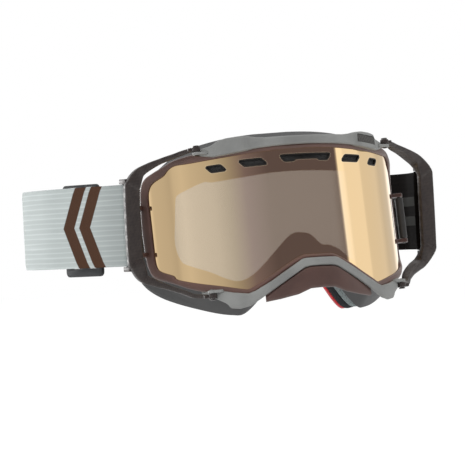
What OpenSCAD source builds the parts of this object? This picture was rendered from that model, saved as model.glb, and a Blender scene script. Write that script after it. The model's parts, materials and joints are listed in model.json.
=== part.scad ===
// Snowmobile goggles with a double cylindrical lens, swivelling outriggers and an elastic strap.
// Millimetres. +X is to the viewer's right, -Y is the way the wearer looks and +Z is up.
// The origin is the middle of the face seal's opening, between the wearer's eyes.

/* [Lens] */
// Radius of the outer lens's outer surface
lens_r = 90; // [86:1:96]
// Thickness of the outer lens
lens_t = 1; // [0.8:0.1:1.4]
// Thickness of the inner lens
pane_t = 0.8; // [0.6:0.1:1.2]
// Air gap between the two lenses, which the gasket fills at the rim
air_gap = 3; // [2.4:0.1:3.4]
// How far the lens reaches under the lip of its frame
lens_lap = 1.5; // [1:0.1:1.7]
// Width of the gasket between the lenses
gasket_w = 3; // [2:0.5:5]
// Height of the outer vents along the lens's top edge
vent_h = 3.4; // [2.6:0.1:4]

/* [Frame] */
// Forward lean of the lens's lower edge, in degrees
rake = 8.5; // [4:0.5:12]
// Height of the lens frame's face over the lens
ring_proud = 2; // [1.4:0.1:2.6]
// Depth of the lens frame behind the lens's face
ring_deep = 5.4; // [5.3:0.1:6]
// Wall of the soft face frame
wall = 2.5; // [2:0.1:3]
// Depth from the lens's face to the face frame's rear at the middle
frame_deep = 24; // [22:1:28]
// How much larger than the lens's the radius of the face frame's rear curve is
face_spread = 2; // [0:0.5:6]
// Thickness of the brow and chin trims
trim_t = 2; // [1.6:0.1:2.6]
// Extra thickness of the brow trim's ears
ear_t = 1.6; // [1:0.1:2.2]
// Thickness of the nose guard
guard_t = 2; // [1.6:0.1:2.6]

/* [Face foam] */
// Thickness of the grey foam on the frame
foam_base_t = 6.5; // [5:0.5:8]
// Thickness of the dark foam in the middle
foam_middle_t = 5.5; // [4:0.5:7]
// Thickness of the fleece that touches the face
fleece_t = 3.5; // [2:0.5:4]
// How far the foam lies inside the frame's outer edge
foam_inset = 2; // [1:0.5:3]

/* [Outriggers] */
// Distance of each upright bar's middle from the goggles' middle
bar_x = 101.2; // [99:0.2:104]
// Width of the upright bar
bar_w = 9.6; // [8:0.2:11]
// Depth of the upright bar
bar_d = 4.6; // [3.6:0.2:5]
// Radius of the rod that the strap turns round
rod_r = 2; // [1.6:0.1:2.2]
// Thickness of the lugs that carry the strap rod
lug_t = 3; // [2:0.2:4]
// Radius of the outrigger's pivot pins
pin_r = 1.2; // [1:0.1:1.6]
// Wall of the eyes and lugs around the pivot pins
eye_wall = 1.4; // [1.2:0.1:2]

/* [Lens lock] */
// Height of each lens-lock lever
lever_h = 26; // [20:1:30]
// Thickness of the lever's plate
lever_t = 2.2; // [1.8:0.1:2.8]
// Radius of the lever's hinge pin
lock_pin_r = 1; // [0.8:0.1:1.2]

/* [Strap] */
// Width of the webbing
strap_w = 50; // [40:1:50]
// Thickness of the webbing
strap_t = 1.6; // [1.2:0.1:1.8]
// Half of the strap loop's inside width
loop_x = 127; // [120:1:135]
// Distance from the loop's widest place to its rearmost place
loop_y = 151; // [135:1:170]
// Width of each silicone grip strip
grip_w = 6; // [4:0.5:8]
// Thickness of the silicone grip strips
grip_t = 0.6; // [0.4:0.1:1]

/* [Slider] */
// Length of the slider along the strap
slider_l = 34; // [30:1:36]
// Height of the slider's rails above and below its slots
slider_rail = 3.2; // [2:0.1:4]
// Thickness of the slider
slider_t = 2.4; // [2.2:0.1:2.6]
// Width of the slider's middle bar
slider_bar = 8; // [6:0.5:10]

/* [Hidden] */
$fn = 48;

// Clearances: beside a pin, between seated pieces, and beside a piece that moves
pin_fit = 0.05;
seat = 0.15;
free = 0.4;

// Places in the frame that has the lens's apex at its origin
apex = [0, -40, 34];
face_r = lens_r + face_spread;
hinge_s = 66.4;
hinge_h = 5.9;
hinge = lens_plan(hinge_s, hinge_h);
hinge_a = hinge_s / lens_r * 180 / PI;
eye_top_z = 9.4;
eye_low_z = -81.2;
eye_h = 2.8;
pin_lug_h = 1.8;
lug_inside = eye_h / 2 + free;
lug_root = [[-0.4, -2.5], [-6.4, 0.9], [-6.4, 3.2], [1, 2.4]];
pin_head_r = 1.9;
pin_head_h = 0.5;
pin_end = 0.4;
lock_s = 112.8;
lock_h = 6.2;
lock_at = lens_plan(lock_s, lock_h);
lock_z = -33;
bar_y = 37.7;
bar_top_z = -12.1;
rod_y = 46;
strap_top_z = bar_top_z - 0.3;
slider_at = 43;
loop_mid_y = 121;
loop_straight_y = 104;
chamfer = 0.8;
steps = 3;
vent_stations = [-6, -3, 0, 3, 6];
low_vent_stations = [52, 55];
web_gap = 0.3;
lock_knuckle = 2.4;
knuckle_root = [[-0.8, -2.4], [-7.2, 0.8], [-6.4, 4.4], [1.5, 2.2]];
lever_turn = 7;
lever_l = 7.5;
pane_drop = 11;
slider_slot = 7.4;
slider_free = 0.4;
slider_drop = 1.8;
tail_l = 12;
grip_gap = 12.6;
tack = [0.4, 1.6, 9];

// Half outlines from the top middle round the right side to the bottom middle, as [arc length, height].
// The lens's visible edge and the outer edge of its frame follow the lens.
lens_edge = [[0, 4.5], [19, 4.2], [38, 3.4], [60, 2.6], [74, 2.4], [84, 2.6], [89, 0.8], [93, -2.2],
    [101, -4.8], [105, -8], [106.7, -14], [106.7, -33], [106.7, -50], [105.5, -57], [102, -60], [93.5, -63.7],
    [90.5, -66.6],
    [77, -71], [61, -75.2], [50, -78.2], [45.5, -78.9], [41, -77], [32, -72.7], [22, -67], [11.5, -61.9],
    [6, -61.3], [0, -61.3]];
ring_edge = [[0, 8], [19, 8], [38, 7.8], [60, 7.8], [73, 7.6], [85, 6.2], [93, 3.6], [101, 1.3], [108, -1.2],
    [112, -6], [113.8, -15], [115, -34], [114.2, -50], [112.6, -57], [108.5, -63], [98, -67.4], [91, -70.3],
    [80, -75], [62, -80.2], [51, -82.4], [45, -82.8], [39, -80.6], [30, -75.8], [20.5, -70], [10.5, -65],
    [5.5, -64.3], [0, -64.3]];
// The face frame's rear edge and its opening follow the face.
rear_edge = [[0, 19.5], [22, 19.2], [43, 17.8], [62, 14.8], [74, 11], [84, 5.5], [93, 0], [99, -4.5],
    [105, -10], [109, -16], [111.5, -23], [112.5, -36], [111.5, -50], [108.5, -60], [103, -67], [94, -73.5],
    [84, -78.7],
    [72, -83.8], [57, -89.3], [47, -91.7], [41, -92], [34.5, -88], [26.5, -80], [18.5, -70.5], [9.5, -61],
    [5, -58.8], [0, -58.3]];
opening_edge = [[0, -5.5], [20, -5.6], [38, -6.5], [50, -7.2], [56, -8], [61, -9.3], [66, -10.8], [70, -12.8],
    [73.5, -15.5], [76, -19], [77.5, -24], [78, -33], [77.5, -44], [76, -50.5], [73.5, -55], [68.5, -58.8],
    [63, -61.5], [57, -64], [50, -67.8], [44, -70.6], [39, -71.3], [33, -69], [26, -63.5], [17.5, -57],
    [9, -48], [4.5, -45], [0, -44.5]];

// Upper and lower edges of the trims, as [arc length, height]
brow_top = [[0, 12], [26, 12.1], [31, 12.7], [35, 13.6], [41, 14.2], [49, 13.9], [54, 12.9], [58, 10.9],
    [64, 9.7], [70.5, 8.2]];
brow_low = [[0, 6.7], [20, 6.4], [33, 5.8], [37, 5], [50, 3.8], [58, 3.7], [64, 5], [70.5, 7.8]];
chin_top = [[0, -63.7], [9, -63.8], [11.6, -64.2], [32, -76.2], [41.5, -80.8], [45.7, -82], [54.7, -80.2],
    [67.7, -76.3], [73.5, -78.5]];
chin_low = [[0, -68.8], [7, -68.9], [10.7, -69.6], [39, -86.2], [45, -89.5], [51.4, -90.6], [57.2, -89.5],
    [59, -86.6], [64, -83.5], [73.5, -78.9]];
guard_low = [[0, -82.3], [8, -82.6], [16, -85.6], [27, -87.4], [38, -88.4]];
guard_gap = 0.5;
guard_tip = 36;

// Vents through the outer lens, as [middle's arc length, height, width, left end's slant, right end's slant,
// width of the notch in the lower edge]
vents = [[57.3, -3.1, 9, 3.2, 3.2, 0], [34.3, -2.1, 13.5, 3.2, 3.2, 0], [0, -1.2, 31.6, -2.4, 2.4, 15],
    [-34.3, -2.1, 13.5, -3.2, -3.2, 0], [-57.3, -3.1, 9, -3.2, -3.2, 0]];
notch_h = 1.2;

// Middle line of the right outrigger's upper and lower arms, as [x, y, z, height, depth, roll]
arm_top = [[71.5, 26, 4.9, 2.8, 5.6, -10], [76, 29.5, 3.1, 2.8, 7.8, -10], [83, 33.2, 0.6, 3.2, 9, -10],
    [90, 36.3, -2.6, 4.8, 9, -10], [96, 38.2, -6.4, 6.4, 8, -8]];
arm_low = [[96, 39.4, -69.6, 6, 8, -8], [90, 37, -73, 4.6, 9, -10], [83, 31.4, -76.4, 3.2, 8.2, -10],
    [77.2, 24, -79.5, 2.8, 6.2, -10], [72.6, 16, -82.4, 2.6, 4.2, -6]];
arm_end = [2.5, 1.5, 0];
arm_end_size = [2.6, 3.2, 0];
corner_z = 3.4;

guard_bow = 2;
ear_from = 34;
ear_to = 57;
ear_slope = 5;
trim_base = ring_proud + seat;
function lens_at(s, z, h) = let (a = s / lens_r * 180 / PI)
    [(lens_r + h) * sin(a), lens_r - (lens_r + h) * cos(a), z];
function lens_plan(s, h) = let (p = lens_at(s, 0, h)) [p[0], p[1]];
function face_at(s, z, h) = let (a = s / face_r * 180 / PI)
    [(face_r + h) * sin(a), frame_deep + face_r - (face_r + h) * cos(a), z];
function mix(a, b, t) = a + (b - a) * t;
function unit(v) = v / norm(v);
function toward(a, b, d) = a + unit(b - a) * d;

// A smooth closed loop through a half outline and its mirror image
function whole(half) = concat(half, [for (i = [len(half) - 2 : -1 : 1]) [-half[i][0], half[i][1]]]);
function spline(a, b, c, d, t) = (2 * b + (c - a) * t + (2 * a - 5 * b + 4 * c - d) * t * t
    + (3 * b - 3 * c + d - a) * t * t * t) / 2;
function smooth_loop(half, n) = let (k = whole(half), m = len(k))
    [for (i = [0 : m - 1]) for (j = [0 : n - 1])
        spline(k[(i + m - 1) % m], k[i], k[(i + 1) % m], k[(i + 2) % m], j / n)];
function smooth_line(k, n) = let (m = len(k) - 1) concat(
    [for (i = [0 : m - 1]) for (j = [0 : n - 1])
        spline(k[max(i - 1, 0)], k[i], k[i + 1], k[min(i + 2, m)], j / n)], [k[m]]);

// Skins sections of equal length into a closed solid, as a ring or as a bar with ends
module skin(sections, ring = false) {
    n = len(sections);
    m = len(sections[0]);
    last = ring ? n - 1 : n - 2;
    sides = [for (i = [0 : last]) for (j = [0 : m - 1])
        let (a = i * m + j, b = i * m + (j + 1) % m, c = (i + 1) % n * m + (j + 1) % m, d = (i + 1) % n * m + j)
        each [[a, b, c], [a, c, d]]];
    ends = ring ? [] : [for (j = [1 : m - 2]) each
        [[0, j + 1, j], [(n - 1) * m, (n - 1) * m + j, (n - 1) * m + j + 1]]];
    polyhedron([for (s = sections) each s], concat(sides, ends), convexity = 10);
}

module on_lens() translate(apex) rotate([-rake, 0, 0]) children();
module level() translate(apex) children();
module both() {
    children();
    mirror([1, 0, 0]) children();
}

function lens_loop() = smooth_loop(lens_edge, steps);
function ring_loop() = smooth_loop(ring_edge, steps);
function rear_loop() = smooth_loop(rear_edge, steps);
function opening_loop() = smooth_loop(opening_edge, steps);

// Soft moulded body that joins the lens frame to the face foam, open behind the lens
frame_front = -ring_deep - seat;
lip_t = wall - 0.5;
lip_over = 1;
edge_inset = 0.3;
function wall_front(i) = let (l = lens_loop()[i], r = ring_loop()[i], g = toward(l, r, norm(r - l) - wall))
    lens_at(g[0], g[1], frame_front - lip_t);
function wall_rear(i) = let (q = toward(rear_loop()[i], opening_loop()[i], wall)) face_at(q[0], q[1], wall);

// A strip against the inside of the frame's wall between two stations of its outline
module wall_strip(from, to, near, far, top, low) skin([for (k = [from : to]) let (i = (k + len(lens_loop()))
    % len(lens_loop()), a = mix(wall_front(i), wall_rear(i), near), b = mix(wall_front(i), wall_rear(i), far))
    [a + [0, 0, low], a + [0, 0, top], b + [0, 0, top], b + [0, 0, low]]]);

module face_frame() color([0.24, 0.25, 0.24]) on_lens() {
    lens = lens_loop();
    ring = ring_loop();
    rear = rear_loop();
    hole = opening_loop();
    skin([for (i = [0 : len(lens) - 1]) let (
        f = toward(lens[i], ring[i], norm(ring[i] - lens[i]) - edge_inset),
        e = toward(lens[i], ring[i], -lip_over),
        r = rear[i], o = hole[i], q = toward(r, o, wall), m = mix(r, o, 0.5), n = mix(q, o, 0.5))
        [lens_at(f[0], f[1], frame_front), face_at(r[0], r[1], 0), face_at(m[0], m[1], 0),
            face_at(o[0], o[1], 0), face_at(o[0], o[1], wall), face_at(n[0], n[1], wall),
            wall_rear(i), wall_front(i),
            lens_at(e[0], e[1], frame_front - lip_t), lens_at(e[0], e[1], frame_front)]], ring = true);
}

// Hard frame that holds the lens, with a lip over its edge and a knuckle for each lens lock
module lens_frame() color([0.33, 0.23, 0.2]) on_lens() {
    lens = lens_loop();
    ring = ring_loop();
    skin([for (i = [0 : len(lens) - 1]) let (
        w = norm(ring[i] - lens[i]),
        p = function (d) toward(lens[i], ring[i], d),
        a = p(0), b = p(0.5), c = p(w - 1.4), d = p(w), g = p(lens_lap + seat))
        [lens_at(a[0], a[1], seat), lens_at(b[0], b[1], 1.2), lens_at(c[0], c[1], ring_proud),
            lens_at(d[0], d[1], ring_proud - 1.4), lens_at(d[0], d[1], -ring_deep),
            lens_at(g[0], g[1], -ring_deep), lens_at(g[0], g[1], seat)]], ring = true);
    both() for (side = [-1, 1]) translate([0, 0, lock_z + side * (lever_h / 2 + free + lock_knuckle / 2)])
        linear_extrude(lock_knuckle, center = true) difference() {
            union() {
                translate(lock_at) circle(lock_pin_r + eye_wall);
                translate(lock_at) polygon(knuckle_root);
            }
            translate(lock_at) circle(lock_pin_r + pin_fit);
        }
}

// A plate on the lens frame between an upper and a lower edge, with chamfered front edges
function column(s, low, top, h0, h1) = [lens_at(s, low, h0), lens_at(s, low, h1 - chamfer),
    lens_at(s, low + chamfer, h1), lens_at(s, top - chamfer, h1), lens_at(s, top, h1 - chamfer),
    lens_at(s, top, h0)];
module plate(top, low, h0, h1, step = 2.5) {
    edge = top[len(top) - 1][0];
    n = ceil(edge / step);
    skin([for (i = [-n : n]) let (s = edge * i / n, a = abs(s))
        column(s, lookup(a, low), max(lookup(a, top), lookup(a, low) + 2 * chamfer + 0.1), h0, h1(a))]);
}

function ear_rise(a) = ear_t * max(0, min(1, (a - ear_from) / ear_slope, (ear_to - a) / ear_slope));

// Knuckle of a trim that holds an outrigger's pivot pin
module pin_lug(z) both() translate([0, 0, z]) linear_extrude(pin_lug_h) difference() {
    union() {
        translate(hinge) circle(pin_r + eye_wall);
        translate(hinge) rotate(hinge_a) polygon(lug_root);
    }
    translate(hinge) circle(pin_r + pin_fit);
}

// Room for an outrigger's eye beside a lug
module eye_room(z) both() translate([hinge[0], hinge[1], z])
    cylinder(r = pin_r + eye_wall + free, h = eye_h + 2 * free, center = true);

module brow_trim() color([0.5, 0.51, 0.5]) on_lens() {
    difference() {
        plate(brow_top, brow_low, trim_base, function (a) trim_base + trim_t + ear_rise(a));
        eye_room(eye_top_z);
        badge_prism(badge_gap, badge_gap);
    }
    pin_lug(eye_top_z - lug_inside - pin_lug_h);
}

// Blank inset on the viewer's right ear
badge_s = 45.5;
badge_z = 9.4;
badge_w = 17;
badge_h = 4.6;
badge_deep = 1;
badge_tilt = 4;
badge_gap = 0.2;
module badge_prism(grow, sink) {
    h = trim_base + trim_t + ear_t;
    translate([0, lens_r, badge_z]) rotate([0, 0, badge_s / lens_r * 180 / PI])
        translate([0, -lens_r - h, 0]) rotate([0, badge_tilt, 0]) rotate([-90, 0, 0])
            translate([0, 0, -2 * grow]) linear_extrude(badge_deep + sink + 2 * grow)
                offset(delta = grow) square([badge_w, badge_h], center = true);
}
module ear_badge() color([0.3, 0.25, 0.23]) on_lens() intersection() {
    badge_prism(0, 0);
    plate(brow_top, brow_low, trim_base, function (a) trim_base + trim_t + ear_rise(a) - badge_gap);
}

module chin_trim() color([0.5, 0.51, 0.5]) on_lens() {
    difference() {
        plate(chin_top, chin_low, trim_base, function (a) trim_base + trim_t);
        eye_room(eye_low_z);
    }
    pin_lug(eye_low_z + lug_inside);
}

// Snap-on shield over the wearer's nose, which bows forward between its tips
module nose_guard() color([0.36, 0.25, 0.22]) on_lens() {
    n = 20;
    skin([for (i = [-n : n]) let (
        s = guard_tip * i / n, a = abs(s), bow = guard_bow * (1 - pow(a / guard_tip, 2)),
        low = lookup(a, guard_low), top = max(lookup(a, chin_low) - guard_gap, low + 2 * chamfer + 0.1))
        column(s, low, top, bow, bow + guard_t)]);
}

function lens_top(a) = lookup(a, [for (i = [0 : 10]) lens_edge[i]]);
function lens_low(a) = lookup(a, [for (i = [26 : -1 : 12]) lens_edge[i]]);
lens_side = lens_edge[11][0];

// A cylindrical pane whose edge lies a given distance outside the lens's visible edge
module pane(out, h0, h1, top_drop = 0) {
    edge = lens_side + out;
    n = 54;
    skin([for (i = [-n : n]) let (
        s = edge * i / n, a = min(abs(s), lens_side), top = lens_top(a) + out - top_drop, low = lens_low(a) - out)
        [lens_at(s, low, h0), lens_at(s, low, h1), lens_at(s, top, h1), lens_at(s, top, h0)]]);
}
vent_reach = 8;
module vent(v, grow, h0, h1) translate([0, lens_r, v[1]]) rotate([0, 0, v[0] / lens_r * 180 / PI])
    translate([0, -lens_r, 0]) rotate([90, 0, 0]) translate([0, 0, h0]) linear_extrude(h1 - h0)
        offset(delta = grow) difference() {
            polygon([[-(v[2] + v[3]) / 2, -vent_h / 2], [(v[2] - v[4]) / 2, -vent_h / 2],
                [(v[2] + v[4]) / 2, vent_h / 2], [(v[3] - v[2]) / 2, vent_h / 2]]);
            if (v[5] > 0) polygon([[-v[5] / 2 - notch_h, -vent_h], [v[5] / 2 + notch_h, -vent_h],
                [v[5] / 2, notch_h - vent_h / 2], [-v[5] / 2, notch_h - vent_h / 2]]);
        }

module outer_lens() color([0.86, 0.72, 0.5, 0.55]) on_lens() difference() {
    pane(lens_lap, -lens_t, 0);
    for (v = vents) vent(v, 0, -vent_reach, vent_reach);
}
module inner_lens() color([0.6, 0.5, 0.42, 0.5]) on_lens()
    pane(lens_lap, -lens_t - air_gap - pane_t, -lens_t - air_gap, top_drop = pane_drop);

module lens_gasket() color([0.12, 0.12, 0.12]) on_lens() difference() {
    pane(lens_lap, -lens_t - air_gap + seat, -lens_t - seat, top_drop = pane_drop);
    pane(lens_lap - gasket_w, -lens_t - air_gap - 1, 1, top_drop = pane_drop);
}

// Foam filters behind the lens's vents, one for each vent
filter_t = 2;
filter_over = 1.4;
module lens_vent_foam() color([0.2, 0.21, 0.21]) on_lens() intersection() {
    pane(lens_lap, -lens_t - free - filter_t, -lens_t - free);
    for (v = vents) vent(v, filter_over, -vent_reach, vent_reach);
}

// Foam strips inside the face frame's upper and lower walls, over its vents
strip_t = 2.5;
module top_vent_foam() color([0.16, 0.16, 0.16]) on_lens()
    wall_strip(vent_stations[0] - 2, vent_stations[4] + 2, 0.1, 0.65, -free, -free - strip_t);
module bottom_vent_foam() color([0.16, 0.16, 0.16]) on_lens() both()
    wall_strip(low_vent_stations[0] - 2, low_vent_stations[1] + 2, 0.1, 0.65, free, free + strip_t);

// One layer of face foam between two depths, with sides that swell or draw in
module foam_layer(d0, d1, swell, crown = 0) {
    rear = smooth_loop(rear_edge, 2);
    hole = smooth_loop(opening_edge, 2);
    m = (d0 + d1) / 2;
    skin([for (i = [0 : len(rear) - 1]) let (
        r = toward(rear[i], hole[i], foam_inset), o = toward(hole[i], rear[i], foam_inset / 2),
        c = mix(r, o, 0.5), rs = toward(r, o, -swell), os = toward(o, r, -swell), rc = toward(r, o, crown),
        oc = toward(o, r, crown))
        [face_at(r[0], r[1], -d0), face_at(rs[0], rs[1], -m), face_at(rc[0], rc[1], -d1),
            face_at(c[0], c[1], -d1 - crown / 3), face_at(oc[0], oc[1], -d1), face_at(os[0], os[1], -m),
            face_at(o[0], o[1], -d0), face_at(c[0], c[1], -d0)]], ring = true);
}
base_end = seat + foam_base_t;
middle_end = base_end + seat + foam_middle_t;
module foam_base() color([0.44, 0.47, 0.47]) on_lens() foam_layer(seat, base_end, 0.6);
module foam_middle() color([0.13, 0.14, 0.15]) on_lens() foam_layer(base_end + seat, middle_end, 0.8);
module foam_fleece() color([0.72, 0.16, 0.17]) on_lens()
    foam_layer(middle_end + seat, middle_end + seat + fleece_t, 0.3, crown = 1.6);

// Section of the outrigger across its path, with bevelled edges
function bar_section(p, t, w, d, roll) = let (n0 = [0, -1, 0], m = unit(n0 - t * (t * n0)), e = cross(t, m),
    n = m * cos(roll) + e * sin(roll), b = cross(t, n), c = min(1, w / 4))
    [for (q = [[-w / 2 + c, -d / 2], [w / 2 - c, -d / 2], [w / 2, -d / 2 + c], [w / 2, d / 2 - c],
        [w / 2 - c, d / 2], [-w / 2 + c, d / 2], [-w / 2, d / 2 - c], [-w / 2, -d / 2 + c]])
        p + b * q[0] + n * q[1]];
bar_low_z = bar_top_z - strap_w - 0.6;
function eye_place(z) = [hinge[0], hinge[1] * cos(rake) + z * sin(rake), z * cos(rake) - hinge[1] * sin(rake)];
bar_path = [[bar_x - 1, bar_y - 0.6, bar_top_z - 0.6, bar_w - 0.2, bar_d, 0],
    [bar_x, bar_y, bar_top_z - 2 * corner_z, bar_w, bar_d, 0],
    [bar_x, bar_y, bar_low_z + 2 * corner_z, bar_w, bar_d, 0],
    [bar_x - 1, bar_y - 0.6, bar_low_z + 0.6, bar_w - 0.2, bar_d, 0]];
outrigger_path = smooth_line(concat([[each eye_place(eye_top_z) + arm_end, each arm_end_size]], arm_top,
    bar_path, arm_low, [[each eye_place(eye_low_z) + arm_end, each arm_end_size]]), 4);

module right_outrigger() {
    path = outrigger_path;
    n = len(path) - 1;
    level() {
        skin([for (i = [0 : n]) let (p = path[i], q = path[min(i + 1, n)], o = path[max(i - 1, 0)])
            bar_section([p[0], p[1], p[2]], unit([q[0] - o[0], q[1] - o[1], q[2] - o[2]]), p[3], p[4], p[5])]);
        for (z = [bar_top_z, bar_low_z - lug_t]) translate([0, 0, z]) linear_extrude(lug_t) union() {
            translate([bar_x - 3.8, bar_y]) square([7.8, rod_y - bar_y]);
            translate([bar_x + 0.3, rod_y]) circle(rod_r + 1.8);
        }
        translate([bar_x + 0.3, rod_y, bar_low_z - 0.5]) cylinder(r = rod_r, h = bar_top_z - bar_low_z + 1);
    }
    on_lens() difference() {
        union() {
            for (z = [eye_top_z, eye_low_z]) translate([hinge[0], hinge[1], z]) {
                cylinder(r = pin_r + eye_wall, h = eye_h, center = true);
                translate([pin_r, -pin_fit, -eye_h / 2 + chamfer / 2]) cube([4, 2.4, eye_h - chamfer]);
            }
        }
        for (z = [eye_top_z, eye_low_z]) translate([hinge[0], hinge[1], z])
            cylinder(r = pin_r + pin_fit, h = eye_h + 2, center = true);
    }
}
module outrigger_right() color([0.24, 0.19, 0.18]) right_outrigger();
module outrigger_left() color([0.24, 0.19, 0.18]) mirror([1, 0, 0]) right_outrigger();

// Headed pin, from its inner end upwards
module pivot_pin() {
    shank = pin_end + pin_lug_h + free + eye_h + free;
    cylinder(r = pin_r, h = shank + pin_head_h / 2);
    translate([0, 0, shank]) cylinder(r = pin_head_r, h = pin_head_h);
}
module outrigger_pins() color([0.55, 0.56, 0.58]) on_lens() both() {
    translate([hinge[0], hinge[1], eye_top_z - lug_inside - pin_lug_h - pin_end]) pivot_pin();
    translate([hinge[0], hinge[1], eye_low_z + lug_inside + pin_lug_h + pin_end])
        rotate([180, 0, 0]) pivot_pin();
}

// Lever on the frame's side that locks the lens, folded back against the frame
module lock_lever() on_lens() translate([0, 0, lock_z]) linear_extrude(lever_h, center = true) difference() {
    union() {
        translate(lock_at) circle(lock_pin_r + eye_wall);
        translate(lock_at) rotate(-lever_turn) translate([-lever_t / 4, lock_pin_r])
            square([lever_t, lever_l]);
    }
    translate(lock_at) circle(lock_pin_r + pin_fit);
}
module lens_lock_right() color([0.5, 0.51, 0.5]) lock_lever();
module lens_lock_left() color([0.5, 0.51, 0.5]) mirror([1, 0, 0]) lock_lever();
module lens_lock_pins() color([0.6, 0.6, 0.62]) on_lens() both()
    translate([lock_at[0], lock_at[1], lock_z])
        cylinder(r = lock_pin_r, h = lever_h + 2 * (free + lock_knuckle) + 0.6, center = true);

// The webbing's middle line in plan. Its right end turns inward round the outrigger's rod and is sewn flat.
// Its left end turns round the rod and runs back to the slider's middle bar.
rod_at = [bar_x + 0.3, rod_y];
turn_r = rod_r + free + strap_t / 2;
bar_turn_r = slider_t / 2 + web_gap + strap_t / 2;
bend_y = loop_mid_y - loop_straight_y;
flare_x = loop_x - rod_at[0];
flare_m = pow(bend_y, 2) + 2 * bend_y * (loop_straight_y - rod_y);
flare_q = pow(flare_m, 2) - pow(2 * bend_y * turn_r, 2);
flare_k = (flare_x * flare_m - sqrt(pow(flare_x * flare_m, 2) - flare_q * (pow(flare_x, 2) - pow(turn_r, 2))))
    / flare_q;
flare = atan(2 * flare_k * bend_y);
along = [sin(flare), cos(flare)];
outward = [cos(flare), -sin(flare)];
slider_mid = rod_at + along * slider_at + outward * (turn_r - 1.5 * strap_t - 2 * web_gap - slider_t / 2);
function band_x(y) = loop_x - flare_k * (y > loop_straight_y ? pow(loop_mid_y - y, 2)
    : pow(loop_mid_y - loop_straight_y, 2) + 2 * (loop_mid_y - loop_straight_y) * (loop_straight_y - y));
function arc(c, r, a0, a1, n) = [for (i = [0 : n]) let (a = mix(a0, a1, i / n)) c + r * [cos(a), sin(a)]];
rod_turn = arc(rod_at, turn_r, 180 - flare, 360 - flare, 12);
band_half = concat([for (i = [1 : 6]) let (y = mix(rod_y, loop_straight_y, i / 6)) [band_x(y), y]],
    [for (i = [1 : 4]) let (y = mix(loop_straight_y, loop_mid_y, i / 4)) [band_x(y), y]],
    [for (i = [1 : 20]) let (a = 90 * i / 20) [loop_x * cos(a), loop_mid_y + loop_y * sin(a)]]);
tail_in = outward * (turn_r - strap_t - web_gap);
right_half = concat([rod_at + along * tail_l + tail_in, rod_at + along * tail_l * 0.6 + tail_in,
    rod_at + along * rod_r - outward * turn_r], rod_turn, band_half);
left_half = concat([slider_mid + outward * bar_turn_r - along * (slider_bar / 2 + 1)],
    arc(slider_mid + along * (slider_bar / 2 - 0.5), bar_turn_r, -flare, 180 - flare, 8),
    [for (t = [0.25, 0.5, 0.75]) mix(slider_mid - outward * bar_turn_r, rod_at - outward * turn_r, t)],
    rod_turn, band_half);
strap_path = concat(right_half, [for (i = [len(left_half) - 2 : -1 : 0]) [-left_half[i][0], left_half[i][1]]]);

// A ribbon in plan, offset to both sides of a path
function turned(v) = [-v[1], v[0]];
function side_of(path, d) = let (n = len(path) - 1) [for (i = [0 : n])
    path[i] + turned(unit(path[min(i + 1, n)] - path[max(i - 1, 0)])) * d];
function ribbon(path, a, b) = let (far = side_of(path, b))
    concat(side_of(path, a), [for (i = [len(path) - 1 : -1 : 0]) far[i]]);

module strap() color([0.74, 0.78, 0.77]) level() translate([0, 0, strap_top_z - strap_w])
    linear_extrude(strap_w) polygon(ribbon(strap_path, strap_t / 2, -strap_t / 2));

// The grip strips lie along the inside of the loop, from the sewn right end to the slider
tail_y = (rod_at + along * tail_l)[1];
grip_path = concat([[band_x(tail_y + 1), tail_y + 1]],
    [for (p = strap_path) if (p[1] > (p[0] > 0 ? tail_y + 2 : slider_mid[1] + slider_bar)) p]);
module grip_strips() color([0.4, 0.4, 0.4]) level()
    for (side = [-1, 1]) translate([0, 0, strap_top_z - strap_w / 2 + side * grip_gap / 2 - grip_w / 2])
        linear_extrude(grip_w) polygon(ribbon(grip_path, strap_t / 2 + grip_t + 0.05, strap_t / 2 + 0.05));

// Bar tacks through the webbing's folded ends, behind the right rod and before the slider's middle bar
tack_rise = (strap_t + tack[0] + seat) / 2;
module tacks(at) for (k = [0.18, 0.5, 0.82]) translate([0, 0, strap_top_z - strap_w * k])
    translate(at) rotate(-flare) cube(tack, center = true);
module strap_stitching() color([0.3, 0.3, 0.3]) level()
    tacks(rod_at + along * tail_l * 0.8 + tail_in - outward * tack_rise);
module slider_stitching() color([0.3, 0.3, 0.3]) mirror([1, 0, 0]) level()
    tacks(slider_mid - outward * (bar_turn_r + tack_rise) - along * (slider_bar / 2 + 1));

slider_slot_h = strap_w + 2 * slider_free;
slider_h = slider_slot_h + 2 * slider_rail;
module slider() color([0.29, 0.31, 0.33]) mirror([1, 0, 0]) level()
    translate([slider_mid[0], slider_mid[1], strap_top_z - strap_w / 2]) rotate(-flare) rotate([90, 0, 90])
        translate([0, 0, -slider_t / 2]) linear_extrude(slider_t) difference() {
            translate([0, -slider_drop]) square([slider_l, slider_h], center = true);
            for (side = [-1, 1]) translate([side * (slider_bar / 2 + slider_slot / 2), 0])
                square([slider_slot, slider_slot_h], center = true);
        }

face_frame();
lens_frame();
brow_trim();
ear_badge();
chin_trim();
nose_guard();
outer_lens();
inner_lens();
lens_gasket();
lens_vent_foam();
top_vent_foam();
bottom_vent_foam();
foam_base();
foam_middle();
foam_fleece();
outrigger_left();
outrigger_right();
outrigger_pins();
lens_lock_left();
lens_lock_right();
lens_lock_pins();
strap();
strap_stitching();
grip_strips();
slider();
slider_stitching();
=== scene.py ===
import bpy, json, math
import numpy as np
from mathutils import Matrix, Vector, noise

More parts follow.
